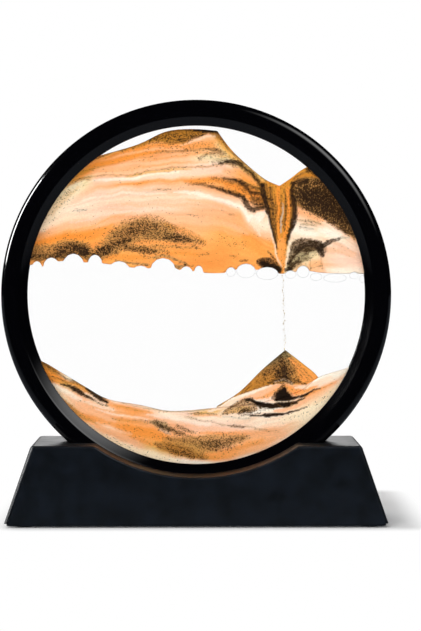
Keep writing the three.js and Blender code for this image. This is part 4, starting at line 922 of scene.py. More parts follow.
settledStreaks = [
    ("umber", 0.55, 0.3, 0.5, [(-72, -30.6, 0.6), (-68, -33, 0.8), (-63, -36, 0.7), (-59, -38.4, 0.6)]),
    ("brown", 0.45, 0.12, 0.9, [(-71.5, -31.6, 0.8), (-67, -34.4, 1.2), (-62, -37.2, 1)]),
    ("deep", 0.55, 0.04, 0.9, [(-70.5, -34, 1.6), (-66, -36.4, 2), (-61, -38.8, 1.2)]),
    ("brown", 0.6, 0.14, 0.6, [(-68.4, -36.6, 0.7), (-64, -37.8, 0.9), (-60.5, -39.4, 0.9),
        (-56, -40.6, 0.6)]),
    ("brown", 0.45, 0.14, 0.6, [(-66.6, -38.8, 0.6), (-63, -40, 0.8), (-58, -41.4, 0.8)]),
    ("umber", 0.6, 0.35, 0.5, [(-60.6, -37.6, 0.5), (-57, -39.3, 0.9), (-54.4, -40.6, 0.6)]),
    ("brown", 0.5, 0.2, 0.7, [(-57, -39.6, 0.6), (-53, -41.6, 1.2), (-50, -43, 1.4)]),
    ("black", 0.9, 0.7, 0.5, [(-62.4, -40.6, 0.4), (-59, -41.9, 1.1), (-56, -43.3, 2), (-53.2, -44.8, 2),
        (-50.6, -46.2, 1.4), (-47.6, -47.8, 1)]),
    ("umber", 0.8, 0.4, 0.6, [(-50.4, -46.2, 1), (-47, -48, 1), (-44, -49.4, 0.9), (-41, -50.6, 0.5)]),
    ("black", 0.9, 0.7, 0.5, [(-50.4, -43, 0.7), (-48.4, -44.2, 1.8), (-46.4, -45.7, 2.2),
        (-44.6, -47, 1.6), (-42.6, -48.4, 1), (-41, -49.4, 0.5)]),
    ("umber", 0.5, 0.35, 0.9, [(-50, -42.2, 0.8), (-46.4, -44.2, 1.2), (-43.4, -46.8, 1.4),
        (-41, -48.8, 1.4)]),
    ("ochre", 0.65, 0.1, 0.8, [(-54.6, -42.3, 1), (-51, -44.2, 1.2), (-48.8, -45.8, 0.7)]),
    ("cream", 0.75, 0, 0.5, [(-50.6, -45.3, 0.5), (-48, -46.6, 0.8), (-45.2, -48.4, 0.7),
        (-42.2, -49.8, 0.6)]),
    ("white", 0.5, 0, 1, [(-67, -39.6, 0.8), (-62, -43, 1.8), (-58, -45.4, 1.6), (-53, -47.4, 1)]),
    ("peach", 0.5, 0, 0.9, [(-63, -44.8, 1), (-58, -48, 1.4), (-52, -50, 1)]),
    ("white", 0.5, 0, 0.7, [(-57.4, -46.6, 0.6), (-50, -49.4, 0.9), (-44, -51.4, 0.8), (-38, -52.4, 0.5)]),
    ("ochre", 0.35, 0.02, 0.7, [(-54, -47.8, 0.4), (-47, -50.8, 0.7), (-40, -53.2, 0.6),
        (-32, -55.4, 0.5)]),
    ("white", 0.4, 0, 0.8, [(-46, -52.4, 0.5), (-38, -54.6, 1), (-30, -56.2, 0.8), (-22, -57.2, 0.5)]),
    ("orange", 0.7, 0, 1, [(-40.6, -50.2, 1), (-36, -51, 1.8), (-31, -52, 1.6), (-25, -53.4, 1.2),
        (-20, -54.4, 0.6)]),
    ("ochre", 0.45, 0.06, 0.7, [(-38, -50, 0.5), (-31, -52, 0.9), (-26, -53, 0.9), (-21, -53.8, 0.6)]),
    ("deep", 0.6, 0.03, 1.6, [(-64, -45.6, 0.8), (-59, -50.4, 1.8), (-53, -54.8, 2.4), (-47, -58, 2.2),
        (-42, -60, 1)]),
    ("tan", 0.5, 0.03, 1, [(-60, -48.6, 0.8), (-55, -53.2, 1.4), (-50, -57, 1.2), (-46, -59.4, 0.8)]),
    ("peach", 0.7, 0, 1.6, [(-55, -49.8, 1.4), (-46, -54.4, 2.4), (-37, -57.6, 2)]),
    ("orange", 0.6, 0.02, 1.4, [(-47, -56.4, 1.2), (-38, -59.4, 2.2), (-29, -61.6, 2.4)]),
    ("cream", 0.45, 0, 1, [(-46, -58.8, 0.6), (-38, -61.6, 1.2), (-30, -63.6, 1)]),
    ("ochre", 0.4, 0.04, 0.9, [(-38.4, -56.4, 0.6), (-34.6, -57.6, 1.6), (-29, -58.4, 0.9),
        (-22, -59.2, 0.6)]),
    ("brown", 0.35, 0.1, 0.8, [(-29, -57.8, 0.5), (-23, -58.2, 1), (-18, -59, 1)]),
    ("deep", 0.65, 0.03, 2.2, [(-36, -60.6, 2), (-29, -62.2, 4.2), (-21, -63.6, 4.4), (-13, -65.6, 2.4)]),
    ("deep", 0.5, 0.05, 1, [(-30, -64.6, 0.8), (-23, -67.6, 1.6), (-17, -69.8, 1.2)]),
    ("peach", 0.55, 0, 1.4, [(-40, -62.4, 1.4), (-33, -65.6, 2.4), (-25, -69.6, 2)]),
    ("white", 0.45, 0, 1.1, [(-22, -55.2, 0.8), (-12, -56.4, 1.8), (-3, -58.6, 1.6), (6, -59.4, 1.4)]),
    ("olive", 0.4, 0.06, 0.4, [(-34, -49.4, 0.4), (-22.6, -52.1, 0.6), (-14.3, -53.5, 0.5),
        (-6, -53.6, 0.5), (2.4, -52.7, 0.5), (8, -52.5, 0.3)]),
    # smudges in the middle
    ("olive", 0.7, 0.34, 1.1, [(-20.6, -58.6, 1), (-17.6, -59, 2.8), (-15.4, -60, 3.4),
        (-12.8, -61.4, 1.8)]),
    ("umber", 0.6, 0.5, 0.7, [(-18.6, -58, 0.8), (-16.6, -59.8, 1.4), (-12.6, -61.4, 1.3),
        (-9.4, -62.6, 1.2), (-5.6, -63.6, 0.8)]),
    ("grey", 0.5, 0.18, 0.8, [(-16.6, -61.6, 1), (-13.6, -62.8, 1.4), (-11.6, -63.4, 0.6)]),
    ("umber", 0.4, 0.3, 0.9, [(-9.6, -60.4, 1), (-7, -61.4, 1.6), (-4, -62.4, 1.2), (0, -63.2, 0.5)]),
    ("umber", 0.4, 0.28, 0.7, [(-10, -63.4, 0.8), (-6, -64.3, 1), (-2.4, -65.1, 1), (1, -65.7, 0.6)]),
    ("brown", 0.35, 0.2, 0.8, [(-4.8, -56.2, 0.8), (-2.6, -56.5, 1.3), (0.4, -57.3, 0.8)]),
    ("brown", 0.4, 0.08, 0.5, [(-5, -56.9, 0.4), (2, -57.9, 0.6), (7, -58.6, 0.6), (11, -59.4, 0.7),
        (15, -60, 0.8), (20, -60.5, 1), (25, -60.6, 0.9), (28.4, -61.4, 0.7), (33, -62.2, 0.6),
        (38.6, -62.4, 0.4)]),
    ("umber", 0.45, 0.35, 0.7, [(14.6, -60, 0.6), (18.4, -60.2, 1.3), (22, -60.7, 0.9)]),
    ("brown", 0.6, 0.26, 0.6, [(-4, -54.6, 0.4), (-1.5, -54.4, 0.8), (1.6, -54.4, 1.2), (4.6, -54.6, 0.9),
        (9, -55, 0.7)]),
    ("orange", 0.55, 0.02, 0.9, [(-2, -55.2, 0.6), (4, -55.4, 1), (11, -55.8, 0.8)]),
    ("peach", 0.5, 0, 1, [(-6, -60.2, 0.6), (4, -60.8, 1.4), (14, -61.8, 1.4), (26, -63, 1)]),
    # the brown speckled belly
    ("tan", 0.6, 0.12, 1.8, [(-14, -66.4, 2.4), (-6, -68.2, 4.6), (2, -69.4, 5.6), (9, -69.4, 4)]),
    ("brown", 0.3, 0.26, 1.6, [(-14, -65.2, 1.2), (-8, -66.2, 2.4), (-2, -67.8, 2.6), (5, -69.6, 2.2)]),
    ("brown", 0.5, 0.3, 1.5, [(-19, -68, 1.2), (-14, -69.4, 2.8), (-8, -71.4, 3.8), (-2, -73, 3.6),
        (4, -74.2, 2)]),
    ("brown", 0.5, 0.38, 1.1, [(-18, -69.7, 0.8), (-14, -71.2, 1.4), (-10, -72.6, 2), (-5, -73.8, 2.2),
        (0, -74.8, 1.6), (5, -75.5, 0.8)]),
    ("tan", 0.6, 0.2, 1.8, [(-2, -65.8, 2), (6, -66.6, 5), (12, -67, 5.2), (18, -66.4, 3.8),
        (24, -65.8, 1.6)]),
    ("umber", 0.2, 0.36, 1.4, [(2, -67.2, 1.6), (7, -68, 3), (12, -68, 3), (17, -67, 1.8),
        (22, -66.2, 0.8)]),
    ("umber", 0.1, 0.24, 1.2, [(6, -70.2, 1.6), (12, -70.2, 2.6), (18, -69.4, 1.4)]),
    ("orange", 0.7, 0.03, 1.2, [(2, -62.9, 0.8), (8, -63.4, 1.4), (14, -63.4, 1.2), (20, -63.2, 0.8)]),
    ("orange", 0.65, 0.03, 1.8, [(4, -73.4, 1.8), (12, -73, 3.2), (22, -69.8, 3), (30, -66.6, 2)]),
    ("warm", 0.5, 0, 1.4, [(20, -72, 1), (28, -69.6, 1.8), (36, -65.8, 1.8)]),
    ("white", 0.75, 0, 0.8, [(-12, -75.6, 1.6), (-4, -76.8, 1.6), (4, -77.4, 1.2), (14, -76.6, 0.8),
        (24, -74.2, 0.7), (34, -70.6, 0.7)]),
    ("straw", 0.6, 0.04, 2, [(-52, -58.6, 1), (-41, -66, 3), (-28, -71.6, 3.6), (-18, -74.4, 3),
        (-8, -76.4, 1.4)]),
    ("peach", 0.45, 0, 1.6, [(24, -65.2, 2), (30, -63.8, 2.2), (37, -62.6, 1.6)]),
    # under the pile
    ("cream", 0.95, 0, 0.6, [(6, -53.4, 0.8), (10, -52, 1.6), (16, -48.8, 2.8), (22, -46, 2.4),
        (28, -44.3, 1.8), (34, -42.6, 1.2)]),
    ("white", 0.6, 0, 0.6, [(10, -51.2, 0.6), (16.4, -47.8, 0.9), (24, -45.2, 0.8), (31, -42.9, 0.6)]),
    ("peach", 0.9, 0, 0.9, [(20, -48, 0.8), (27, -46.4, 2.8), (32, -45, 4.2), (36, -43.4, 2.6)]),
    ("orange", 0.7, 0.02, 1, [(26, -47.8, 0.8), (31, -47, 1.6), (34.6, -45.6, 2.4), (37.4, -43.4, 1.2)]),
    ("orange", 0.85, 0.04, 0.8, [(42.4, -41.9, 1.4), (44.8, -43.6, 3), (48.6, -44, 2), (52, -43.2, 1.4),
        (56, -41.4, 0.8)]),
    ("cream", 0.8, 0, 0.7, [(45, -42.2, 0.8), (50, -42, 1.6), (56, -40, 1.8), (62, -37.6, 1.4)]),
    ("deep", 0.65, 0.03, 0.7, [(47.6, -46.8, 0.6), (52, -44.9, 1.4), (56.6, -43.1, 1), (60.6, -41.4, 0.7),
        (64.6, -39.2, 0.5)]),
    ("tan", 0.75, 0.2, 0.9, [(12, -54.6, 0.8), (16, -53, 3), (20, -51.6, 5.2), (24, -51.2, 5.4),
        (27.4, -52.8, 2.4)]),
    ("gold", 0.5, 0.2, 0.8, [(15, -54, 1), (20, -52.6, 2.4), (24, -52.4, 2)]),
    ("brown", 0.55, 0.35, 0.8, [(12.6, -54, 0.7), (16, -51.6, 1.1), (19, -49.6, 1.5), (22, -48.4, 1.5),
        (25, -48.3, 1.5)]),
    ("umber", 0.45, 0.5, 0.9, [(20.2, -54.2, 1.6), (23.2, -53.2, 2.6), (26, -53.8, 1.4)]),
    ("black", 1, 0.8, 0.6, [(22.4, -48.4, 0.8), (25, -48.6, 1.5), (28, -50, 2.2), (31, -50.9, 2.6),
        (35, -51, 2.4), (39.6, -50.4, 1.8), (43.6, -49.6, 1.2), (46.6, -48.3, 0.8), (50, -46.6, 0.5)]),
    ("umber", 0.5, 0.5, 0.6, [(26.6, -50.8, 0.8), (30.4, -52, 1.2), (34, -51.9, 1), (40, -51, 0.8),
        (46, -49.4, 0.5)]),
    ("brown", 0.6, 0.4, 1.4, [(40, -41.4, 1.6), (40.2, -43.6, 3.6), (40, -46, 6.6), (40, -47.8, 8.6)]),
    ("black", 1, 0.9, 0.6, [(40.2, -42.6, 1.2), (40, -44.6, 3.4), (39.8, -46.4, 6.2), (39.8, -47.8, 7.4)]),
    ("black", 1, 0.8, 0.5, [(42, -47.2, 2.2), (46, -46.9, 1.5), (50, -45.5, 0.9), (54, -43.8, 0.5),
        (57, -42.6, 0.3)]),
    ("umber", 0.6, 0.45, 0.7, [(35.4, -47.2, 1.4), (37, -45, 1.6), (38.8, -42.8, 1)]),
    ("cream", 0.8, 0, 0.5, [(34, -49.3, 0.4), (37, -49.2, 0.7), (41, -49, 0.7), (45, -48, 0.6),
        (49, -46.4, 0.5)]),
    ("white", 0.85, 0.03, 0.5, [(26.4, -54.4, 1), (30.6, -53.3, 1.3), (35, -52.8, 1.3), (40, -52, 0.6)]),
    ("grey", 0.3, 0.12, 0.5, [(25.4, -53.9, 0.5), (29.4, -53.2, 0.8), (34, -52.4, 0.6)]),
    ("peach", 0.85, 0, 0.6, [(36, -53.2, 1.2), (40, -52.8, 1.8), (44, -51.6, 1.6), (48, -49.8, 1.2),
        (53, -47, 0.8)]),
    ("black", 1, 0.75, 0.5, [(25, -55.4, 0.5), (28.8, -55.9, 0.8), (32, -55.5, 1.3), (35, -54.9, 1.2),
        (38, -54.7, 1.2), (42, -54.3, 0.9), (46, -52.9, 0.6), (51, -51, 0.3)]),
    ("umber", 0.5, 0.4, 0.4, [(21, -55.2, 0.4), (26, -54.9, 0.6), (29.4, -54.6, 0.5)]),
    ("grey", 0.5, 0.08, 0.5, [(12, -56, 0.5), (18, -56.2, 0.8), (25, -56.6, 0.7)]),
    ("straw", 0.7, 0.045, 2.4, [(40, -57.2, 2.4), (48, -54.6, 2.6), (55, -50.2, 2.4), (62, -44.6, 1.8),
        (68, -38.6, 1.4)]),
    ("gold", 0.25, 0.02, 0.8, [(54, -50.4, 0.8), (58.4, -47.4, 1), (63, -43, 0.7)]),
    ("white", 0.4, 0, 1, [(56, -41.6, 0.6), (62, -38.6, 1.2), (68, -35.4, 1)])]

# the line above which the sand is the pile's, as x and z in mm from the ring's centre
pileFoot = [(8, -52.4), (12, -50.2), (16.6, -47), (24.3, -44.4), (31.4, -41.9), (36.6, -40.8),
            (40.7, -40.3), (44.2, -41.2), (50.9, -41.1), (57, -37.6)]

pileLayers = [
    [(8, -50, "ochre"), (24, -37, "ochre"), (40.7, -24, "olive"), (48, -29, "ochre"), (57, -38, "orange")],
    [(8, -53, "gold"), (24, -44.6, "ochre"), (36, -41.2, "ochre"), (40.7, -40.6, "gold"),
        (50, -41.8, "orange"), (57, -40, "orange")]]

pileStreaks = [
    ("umber", 0.55, 0.35, 0.5, [(8.6, -51.8, 0.5), (16, -45.4, 0.8), (24, -38.2, 0.8), (32, -31.8, 0.9),
        (38, -27.2, 1.3), (40.7, -25.4, 1.6)]),
    ("olive", 0.7, 0.4, 1.2, [(32, -32.4, 1), (37, -29.4, 2.6), (40.4, -27.6, 4), (43.4, -30, 2.8)]),
    ("brown", 0.5, 0.3, 1.8, [(31, -36.4, 2), (36, -33, 4), (40, -31, 5.6), (44.6, -34, 3.6)]),
    ("brown", 0.6, 0.42, 3, [(40, -30, 2), (39.8, -34, 5.4), (39.8, -37, 8.4), (40, -39, 9)]),
    ("umber", 0.55, 0.68, 2.4, [(40.2, -31.6, 1.4), (40, -34, 3.2), (39.8, -36.2, 4.6)]),
    ("umber", 0.45, 0.45, 0.9, [(33.6, -40.6, 1.4), (37.4, -39.2, 1.8), (43, -38.6, 2.4),
        (47.4, -39.6, 1.4), (51, -40.6, 0.8)]),
    ("brown", 0.35, 0.3, 0.8, [(43.6, -35.6, 1.6), (46, -38.2, 1.4), (49, -40.6, 0.8)]),
    ("grey", 0.45, 0.16, 0.6, [(36, -40.4, 0.8), (40.2, -38.9, 1), (44, -40.4, 0.8)]),
    ("orange", 0.9, 0.05, 1.2, [(43.4, -29.4, 1.2), (46.4, -32.4, 3.2), (49.6, -36.4, 5), (54, -38.6, 3)]),
    ("orange", 0.7, 0.03, 0.8, [(49, -39.6, 1.2), (53.4, -39.4, 1.8), (55.6, -38.6, 0.8)])]


# rows of dark grains that rolled down a side of the pile, each below the last
def rolledRows(strength, darkShare, soft, top, step, slope, widths, lengths):
    rows = []
    for row, length in enumerate(lengths):
        x = top[0] + step[0] * row
        z = top[1] + step[1] * row
        rows.append(("umber", strength, darkShare, soft, [
            (x, z, widths[0]), (x + slope[0] * length, z + slope[1] * length, widths[1])]))
    return rows


pileStreaks += rolledRows(0.3, 0.36, 0.5, top=(40.4, -26.0), step=(-0.5, -1.7), slope=(-0.77, -0.64),
                          widths=(0.6, 0.8), lengths=[38, 33, 29, 25, 20.5, 16.5, 12, 8])
pileStreaks += rolledRows(0.25, 0.28, 0.4, top=(42.2, -27.8), step=(0.1, -2.0), slope=(0.74, -0.67),
                          widths=(0.5, 0.7), lengths=[15, 14, 12, 8])

# how the paint strays from the layers and strokes: sizes in mm, the rest as shares
paintSet = {"seed": 11, "warpSize": 7.0, "warp": 0.7, "fineWarpSize": 1.3, "fineWarp": 0.3,
            "leastLayer": 0.05, "veinLength": 20.0, "veinDepth": 0.36, "veinTint": (0.24, 0.52, 0.8),
            "dither": 0.8, "specks": 0.003}


# runs from 0 to 1 with a gentle start and end
def smoothStep(value):
    value = np.clip(value, 0, 1)
    return value * value * (3 - 2 * value)


# smooth seeded noise from 0 to 1 over the plane, with features of the given size in mm
def planeNoise(x, z, size, seed, octaves=2, cells=64, start=(31.7, 17.3)):
    total, weight, amount = 0.0, 0.0, 1.0
    for octave in range(octaves):
        table = np.random.default_rng(seed * 17 + octave).random((cells, cells))
        u = x / size + start[0]
        v = z / size + start[1]
        column, row = np.floor(u).astype(int), np.floor(v).astype(int)
        across, up = smoothStep(u - column), smoothStep(v - row)
        column, row = column % cells, row % cells
        nextColumn, nextRow = (column + 1) % cells, (row + 1) % cells
        low = table[row, column] * (1 - across) + table[row, nextColumn] * across
        high = table[nextRow, column] * (1 - across) + table[nextRow, nextColumn] * across
        total = total + amount * (low * (1 - up) + high * up)
        weight += amount
        amount *= 0.5
        size *= 0.5
    return total / weight


# a smooth path through given points, by the cubic that passes through each
def smoothPath(points, parts=5):
    points = np.array(points, float)
    ends = np.vstack([2 * points[0] - points[1], points, 2 * points[-1] - points[-2]])
    path = []
    for a, b, c, d in zip(ends[:-3], ends[1:-2], ends[2:-1], ends[3:]):
        for t in np.arange(parts) / parts:
            path.append(0.5 * (2 * b + (c - a) * t + (2 * a - 5 * b + 4 * c - d) * t ** 2
                               + (3 * b - a - 3 * c + d) * t ** 3))
    return np.array(path + [ends[-2]])


# how far each point lies under a brush that follows a path: 1 in its middle, 0 outside
def brushCover(x, z, path, soft):
    cover = np.zeros(len(x))
    path = smoothPath(path)
    reach = path[:, 2].max() / 2 + soft
    near = np.flatnonzero((x > path[:, 0].min() - reach) & (x < path[:, 0].max() + reach)
                          & (z > path[:, 1].min() - reach) & (z < path[:, 1].max() + reach))
    px, pz = x[near], z[near]
    best = np.full(len(near), -np.inf)
    for (ax, az, aw), (bx, bz, bw) in zip(path[:-1], path[1:]):
        dx, dz = bx - ax, bz - az
        t = np.clip(((px - ax) * dx + (pz - az) * dz) / (dx * dx + dz * dz + 1e-9), 0, 1)
        away = np.hypot(px - ax - t * dx, pz - az - t * dz)
        best = np.maximum(best, ((aw + (bw - aw) * t) / 2 + soft / 2 - away) / soft)
    cover[near] = smoothStep(best)
    return cover


# the tones between layers, and how deep each point lies among them
def layerTones(x, z, layers):
    heights, tones = [], []
    for layer in layers:
        across = [p[0] for p in layer]
        height = np.interp(x, across, [p[1] for p in layer])
        if heights:
            height = np.minimum(height, heights[-1] - paintSet["leastLayer"])
        heights.append(height)
        colours = np.array([linear(sandTones[p[2]])[:3] for p in layer])
        tones.append(np.stack([np.interp(x, across, colours[:, k]) for k in range(3)], 1))
    heights, tones = np.array(heights), np.array(tones)
    above = np.clip((z[None, :] < heights).sum(0) - 1, 0, len(layers) - 2)
    each = np.arange(len(x))
    top, bottom = heights[above, each], heights[above + 1, each]
    share = np.clip((top - z) / (top - bottom), 0, 1)[:, None]
    return tones[above, each] * (1 - share) + tones[above + 1, each] * share, above + share[:, 0]


# paints grains at x, z with layers and then streaks; gives their colours and the share of dark grains
def paintGrains(x, z, layers, streaks):
    p = paintSet
    warpX = x + p["warp"] * (planeNoise(x, z, p["warpSize"], p["seed"]) - 0.5) * 2
    warpZ = z + p["warp"] * (planeNoise(x, z, p["warpSize"], p["seed"] + 1) - 0.5) * 2
    fineX = warpX + p["fineWarp"] * (planeNoise(x, z, p["fineWarpSize"], p["seed"] + 2) - 0.5) * 2
    fineZ = warpZ + p["fineWarp"] * (planeNoise(x, z, p["fineWarpSize"], p["seed"] + 3) - 0.5) * 2
    colours, depth = layerTones(warpX, warpZ, layers)
    dark = np.full(len(x), p["specks"])
    veins = planeNoise(x / p["veinLength"], depth / p["veinDepth"], 1.0, p["seed"] + 4, octaves=3) - 0.5
    colours = colours * (1 + veins[:, None] * np.array(p["veinTint"]))
    jitter = np.random.default_rng(p["seed"]).random(len(x)) - 0.5
    for tone, strength, darkShare, soft, path in streaks:
        cover = brushCover(fineX, fineZ, path, soft)
        edge = 4 * cover * (1 - cover)
        cover = np.clip(cover + jitter * p["dither"] * edge, 0, 1)
        share = (strength * cover)[:, None]
        colours = colours * (1 - share) + np.array(linear(sandTones[tone])[:3]) * share
        dark = dark * (1 - strength * cover) + darkShare * cover
    return np.clip(colours, 0, 1), np.clip(dark, 0, 1)


# fine natural sand wetted by the liquid: matt, every grain a slightly different tone
looseSand, tree, place = startMaterial("wet_coloured_sand")
paint = addNode(tree, "ShaderNodeAttribute", attribute_name="sandColour").outputs["Color"]
darkShare = addNode(tree, "ShaderNodeAttribute", attribute_name="darkShare").outputs["Fac"]
cells = cellsOver(tree, place, sandLook["grain"])
chance = addNode(tree, "ShaderNodeSeparateColor", {0: cells["Color"]}).outputs
tone = mapRange(tree, chance[1], 0.0, 1.0, sandLook["toneFrom"], sandLook["toneTo"])
shaded = addNode(tree, "ShaderNodeVectorMath", {0: paint, "Scale": tone}, operation="SCALE").outputs[0]
# the paler the ground, the browner its dark grains can be
ground = addNode(tree, "ShaderNodeSeparateColor", {0: paint}).outputs
brownness = calculate(tree, "MULTIPLY", chance[2], ground[1])
darkTone = mixColours(tree, brownness, sandLook["darkGrain"], sandLook["brownGrain"])
isDark = calculate(tree, "LESS_THAN", chance[0], darkShare)
endSurface(tree, {
    "Base Color": mixColours(tree, isDark, shaded, darkTone), "Roughness": sandLook["roughness"],
    "Specular IOR Level": sandLook["gloss"],
    "Normal": bumps(tree, cells["Distance"], sandLook["grainHeight"], sandLook["bumpStrength"],
                    invert=True)})


# A sand body: the CAD solid cut into facets fine enough for paint to follow. Each painting has its layers,
# its streaks and a function that tells which points it covers.
def sandBody(name, nodeName, paintings):
    body = mergedCopy(name, [nodeName])
    remesh = body.modifiers.new("grains", "REMESH")
    remesh.mode = "VOXEL"
    remesh.voxel_size = sandLook["voxel"] * mm
    applyModifiers(body)
    count = len(body.data.vertices)
    points, normals = np.empty(count * 3), np.empty(count * 3)
    body.data.vertices.foreach_get("co", points)
    body.data.vertices.foreach_get("normal", normals)
    outward = normals.reshape(-1, 3) * (sandLook["overlap"], 0, sandLook["overlap"])
    points = points.reshape(-1, 3) / mm + outward
    body.data.vertices.foreach_set("co", (points * mm).ravel())
    x, z = points[:, 0], points[:, 2] - ringSize["centre"]
    colours = np.ones((count, 4))
    dark = np.zeros(count)
    for layers, streaks, covers in paintings:
        part = covers(x, z)
        colours[part, :3], dark[part] = paintGrains(x[part], z[part], layers, streaks)
    attributes = body.data.attributes
    attributes.new("sandColour", "FLOAT_COLOR", "POINT").data.foreach_set("color", colours.ravel())
    attributes.new("darkShare", "FLOAT", "POINT").data.foreach_set("value", dark)
    smoothByAngle(body, sandLook["sharpFrom"])
    slots = {part["node"]: part["material_slot"] for part in frame["record"]["subparts"]}
    dress(body, looseSand, slots[nodeName])
    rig.replaces(body, nodeName)
    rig.ride(body, "frame")
    print(name, len(body.data.polygons), "faces")


def onPile(x, z):
    return z > np.interp(x, [p[0] for p in pileFoot], [p[1] for p in pileFoot])


def besidePile(x, z):
    return ~onPile(x, z)


def leftOfFunnel(x, z):
    return x < funnelMiddle


def rightOfFunnel(x, z):
    return x >= funnelMiddle


def everywhere(x, z):
    return np.full(len(x), True)


sandBody("hanging_sand", "upper_sand", [
    (hangingLayers, hangingStreaks + funnelStreaks, leftOfFunnel),
    (rightLayers, rightStreaks + funnelStreaks, rightOfFunnel)])
sandBody("sand_pile", "sand_cone", [
    (settledLayers, settledStreaks, besidePile), (pileLayers, pileStreaks, onPile)])
sandBody("settled_sand", "lower_sand", [(settledLayers, settledStreaks, everywhere)])

# the thread of falling grains, in mm: the line they follow keeps inset from the sides of the CAD thread's box
grainLook = {"spacing": 0.75, "spread": 0.5, "small": 0.14, "large": 0.32, "inset": 1.1, "seed": 7,
             "speckSize": 2 / 3, "colour": "#DCC898", "dark": "#9A8050", "roughness": 0.8}

# the same sand, sparse and backlit: its colour is set paler than the sand's as painted backlight, so the thread reads
# as pale specks
fallingSand, tree, place = startMaterial("falling_sand_grains")
chance = addNode(tree, "ShaderNodeSeparateColor", {
    0: cellsOver(tree, place, grainLook["speckSize"])["Color"]}).outputs[0]
endSurface(tree, {
    "Base Color": mixColours(tree, chance, grainLook["colour"], grainLook["dark"]),
    "Roughness": grainLook["roughness"]})

low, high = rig.box("falling_sand")
inset = grainLook["inset"] * mm
mesh = bpy.data.meshes.new("falling_grains")
mesh.from_pydata([(low.x + inset, 0, high.z), (high.x - inset, 0, low.z)], [(0, 1)], [])

# small balls at even steps along the thread, each moved aside and sized by chance
grainTree, given = startTree("grains_along_path", [
    ("Spacing", "NodeSocketFloat"), ("Spread", "NodeSocketFloat"), ("Small", "NodeSocketFloat"),
    ("Large", "NodeSocketFloat"), ("Seed", "NodeSocketInt"), ("Material", "NodeSocketMaterial")])
thread = addNode(grainTree, "GeometryNodeMeshToCurve", {"Mesh": given["Geometry"]})
spots = addNode(grainTree, "GeometryNodeCurveToPoints", {
    "Curve": thread.outputs[0], "Length": given["Spacing"]}, mode="LENGTH")
back = calculate(grainTree, "MULTIPLY", given["Spread"], -1.0)
most = addNode(grainTree, "ShaderNodeCombineXYZ", {axis: given["Spread"] for axis in range(3)})
least = addNode(grainTree, "ShaderNodeCombineXYZ", {axis: back for axis in range(3)})
drift = addNode(grainTree, "FunctionNodeRandomValue", {
    "Min": least.outputs[0], "Max": most.outputs[0], "Seed": given["Seed"]}, data_type="FLOAT_VECTOR")
strewn = addNode(grainTree, "GeometryNodeSetPosition", {
    "Geometry": spots.outputs[0], "Offset": drift.outputs[0]})
grainBall = addNode(grainTree, "GeometryNodeMeshIcoSphere", {"Radius": 1.0, "Subdivisions": 1})
radius = addNode(grainTree, "FunctionNodeRandomValue", {
    2: given["Small"], 3: given["Large"], "Seed": given["Seed"]}, data_type="FLOAT")
placed = addNode(grainTree, "GeometryNodeInstanceOnPoints", {
    "Points": strewn.outputs[0], "Instance": grainBall.outputs[0], "Scale": radius.outputs[1]})
endTree(grainTree, placed.outputs[0], given["Material"])
fallingGrains = runTree(meshObject("falling_grains", mesh), grainTree, {
    "Spacing": grainLook["spacing"] * mm, "Spread": grainLook["spread"] * mm,
    "Small": grainLook["small"] * mm, "Large": grainLook["large"] * mm,
    "Seed": grainLook["seed"], "Material": fallingSand})
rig.replaces(fallingGrains, "falling_sand")
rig.slot(fallingGrains, "ochre_sand")
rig.ride(fallingGrains, "frame")
print("falling grains made:", len(fallingGrains.data.polygons), "faces")

# The floor, in mm but for its half width in metres. The shadow shows near the base, on nearHalf to each side
# of nearCentre, and is gone plainAt further out. Gloss sees the floor dim in front and brighter at the back.
floorLook = {"half": 4.0, "colour": "#F4F4F4", "ownWhite": 0.02, "nearCentre": (7.0, 38.0, 0.0),
             "nearHalf": (86.0, 60.0, 0.0), "plainAt": 17.0, "glossTint": "#DDE6F2", "glossFront": 0.008,
             "glossBack": 0.22, "frontUpTo": -150.0, "backFrom": -60.0}

# pale paper: it shows the soft shadow beside the base and is plain white further out
floorPaint, tree, place = startMaterial("pale_paper")
ray = addNode(tree, "ShaderNodeLightPath").outputs
seen = cameraSees(tree, ray)
shifted = calculateVector(tree, "SUBTRACT", place, [v * mm for v in floorLook["nearCentre"]])
spread = calculateVector(tree, "ABSOLUTE", shifted)
past = calculateVector(tree, "SUBTRACT", spread, [v * mm for v in floorLook["nearHalf"]])
away = calculateVector(tree, "LENGTH", calculateVector(tree, "MAXIMUM", past))
plain = mapRange(tree, away, 0.0, floorLook["plainAt"] * mm, kind="SMOOTHSTEP")
own = calculate(tree, "MULTIPLY", seen, floorLook["ownWhite"])
glow = addNode(tree, "ShaderNodeEmission", {"Strength": own}).outputs[0]
matt = addNode(tree, "ShaderNodeBsdfDiffuse", {"Color": floorLook["colour"]}).outputs[0]
both = addNode(tree, "ShaderNodeAddShader", {0: matt, 1: glow}).outputs[0]
white = addNode(tree, "ShaderNodeEmission", {"Color": "#FFFFFF", "Strength": 1.0}).outputs[0]
paper = mixShaders(tree, calculate(tree, "MULTIPLY", plain, seen), both, white)
along = addNode(tree, "ShaderNodeSeparateXYZ", {0: place}).outputs["Y"]
glossLevel = mapRange(tree, along, floorLook["frontUpTo"] * mm, floorLook["backFrom"] * mm,
                      floorLook["glossFront"], floorLook["glossBack"])
dim = addNode(tree, "ShaderNodeEmission", {
    "Color": floorLook["glossTint"], "Strength": glossLevel}).outputs[0]
endMaterial(tree, mixShaders(tree, ray["Is Glossy Ray"], paper, dim))

half = floorLook["half"]
mesh = bpy.data.meshes.new("floor")
corners = [(-half, -half, 0), (half, -half, 0), (half, half, 0), (-half, half, 0)]
mesh.from_pydata(corners, [], [(0, 1, 2, 3)])
floor = meshObject("floor", mesh)
dress(floor, floorPaint)
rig.stage(floor)

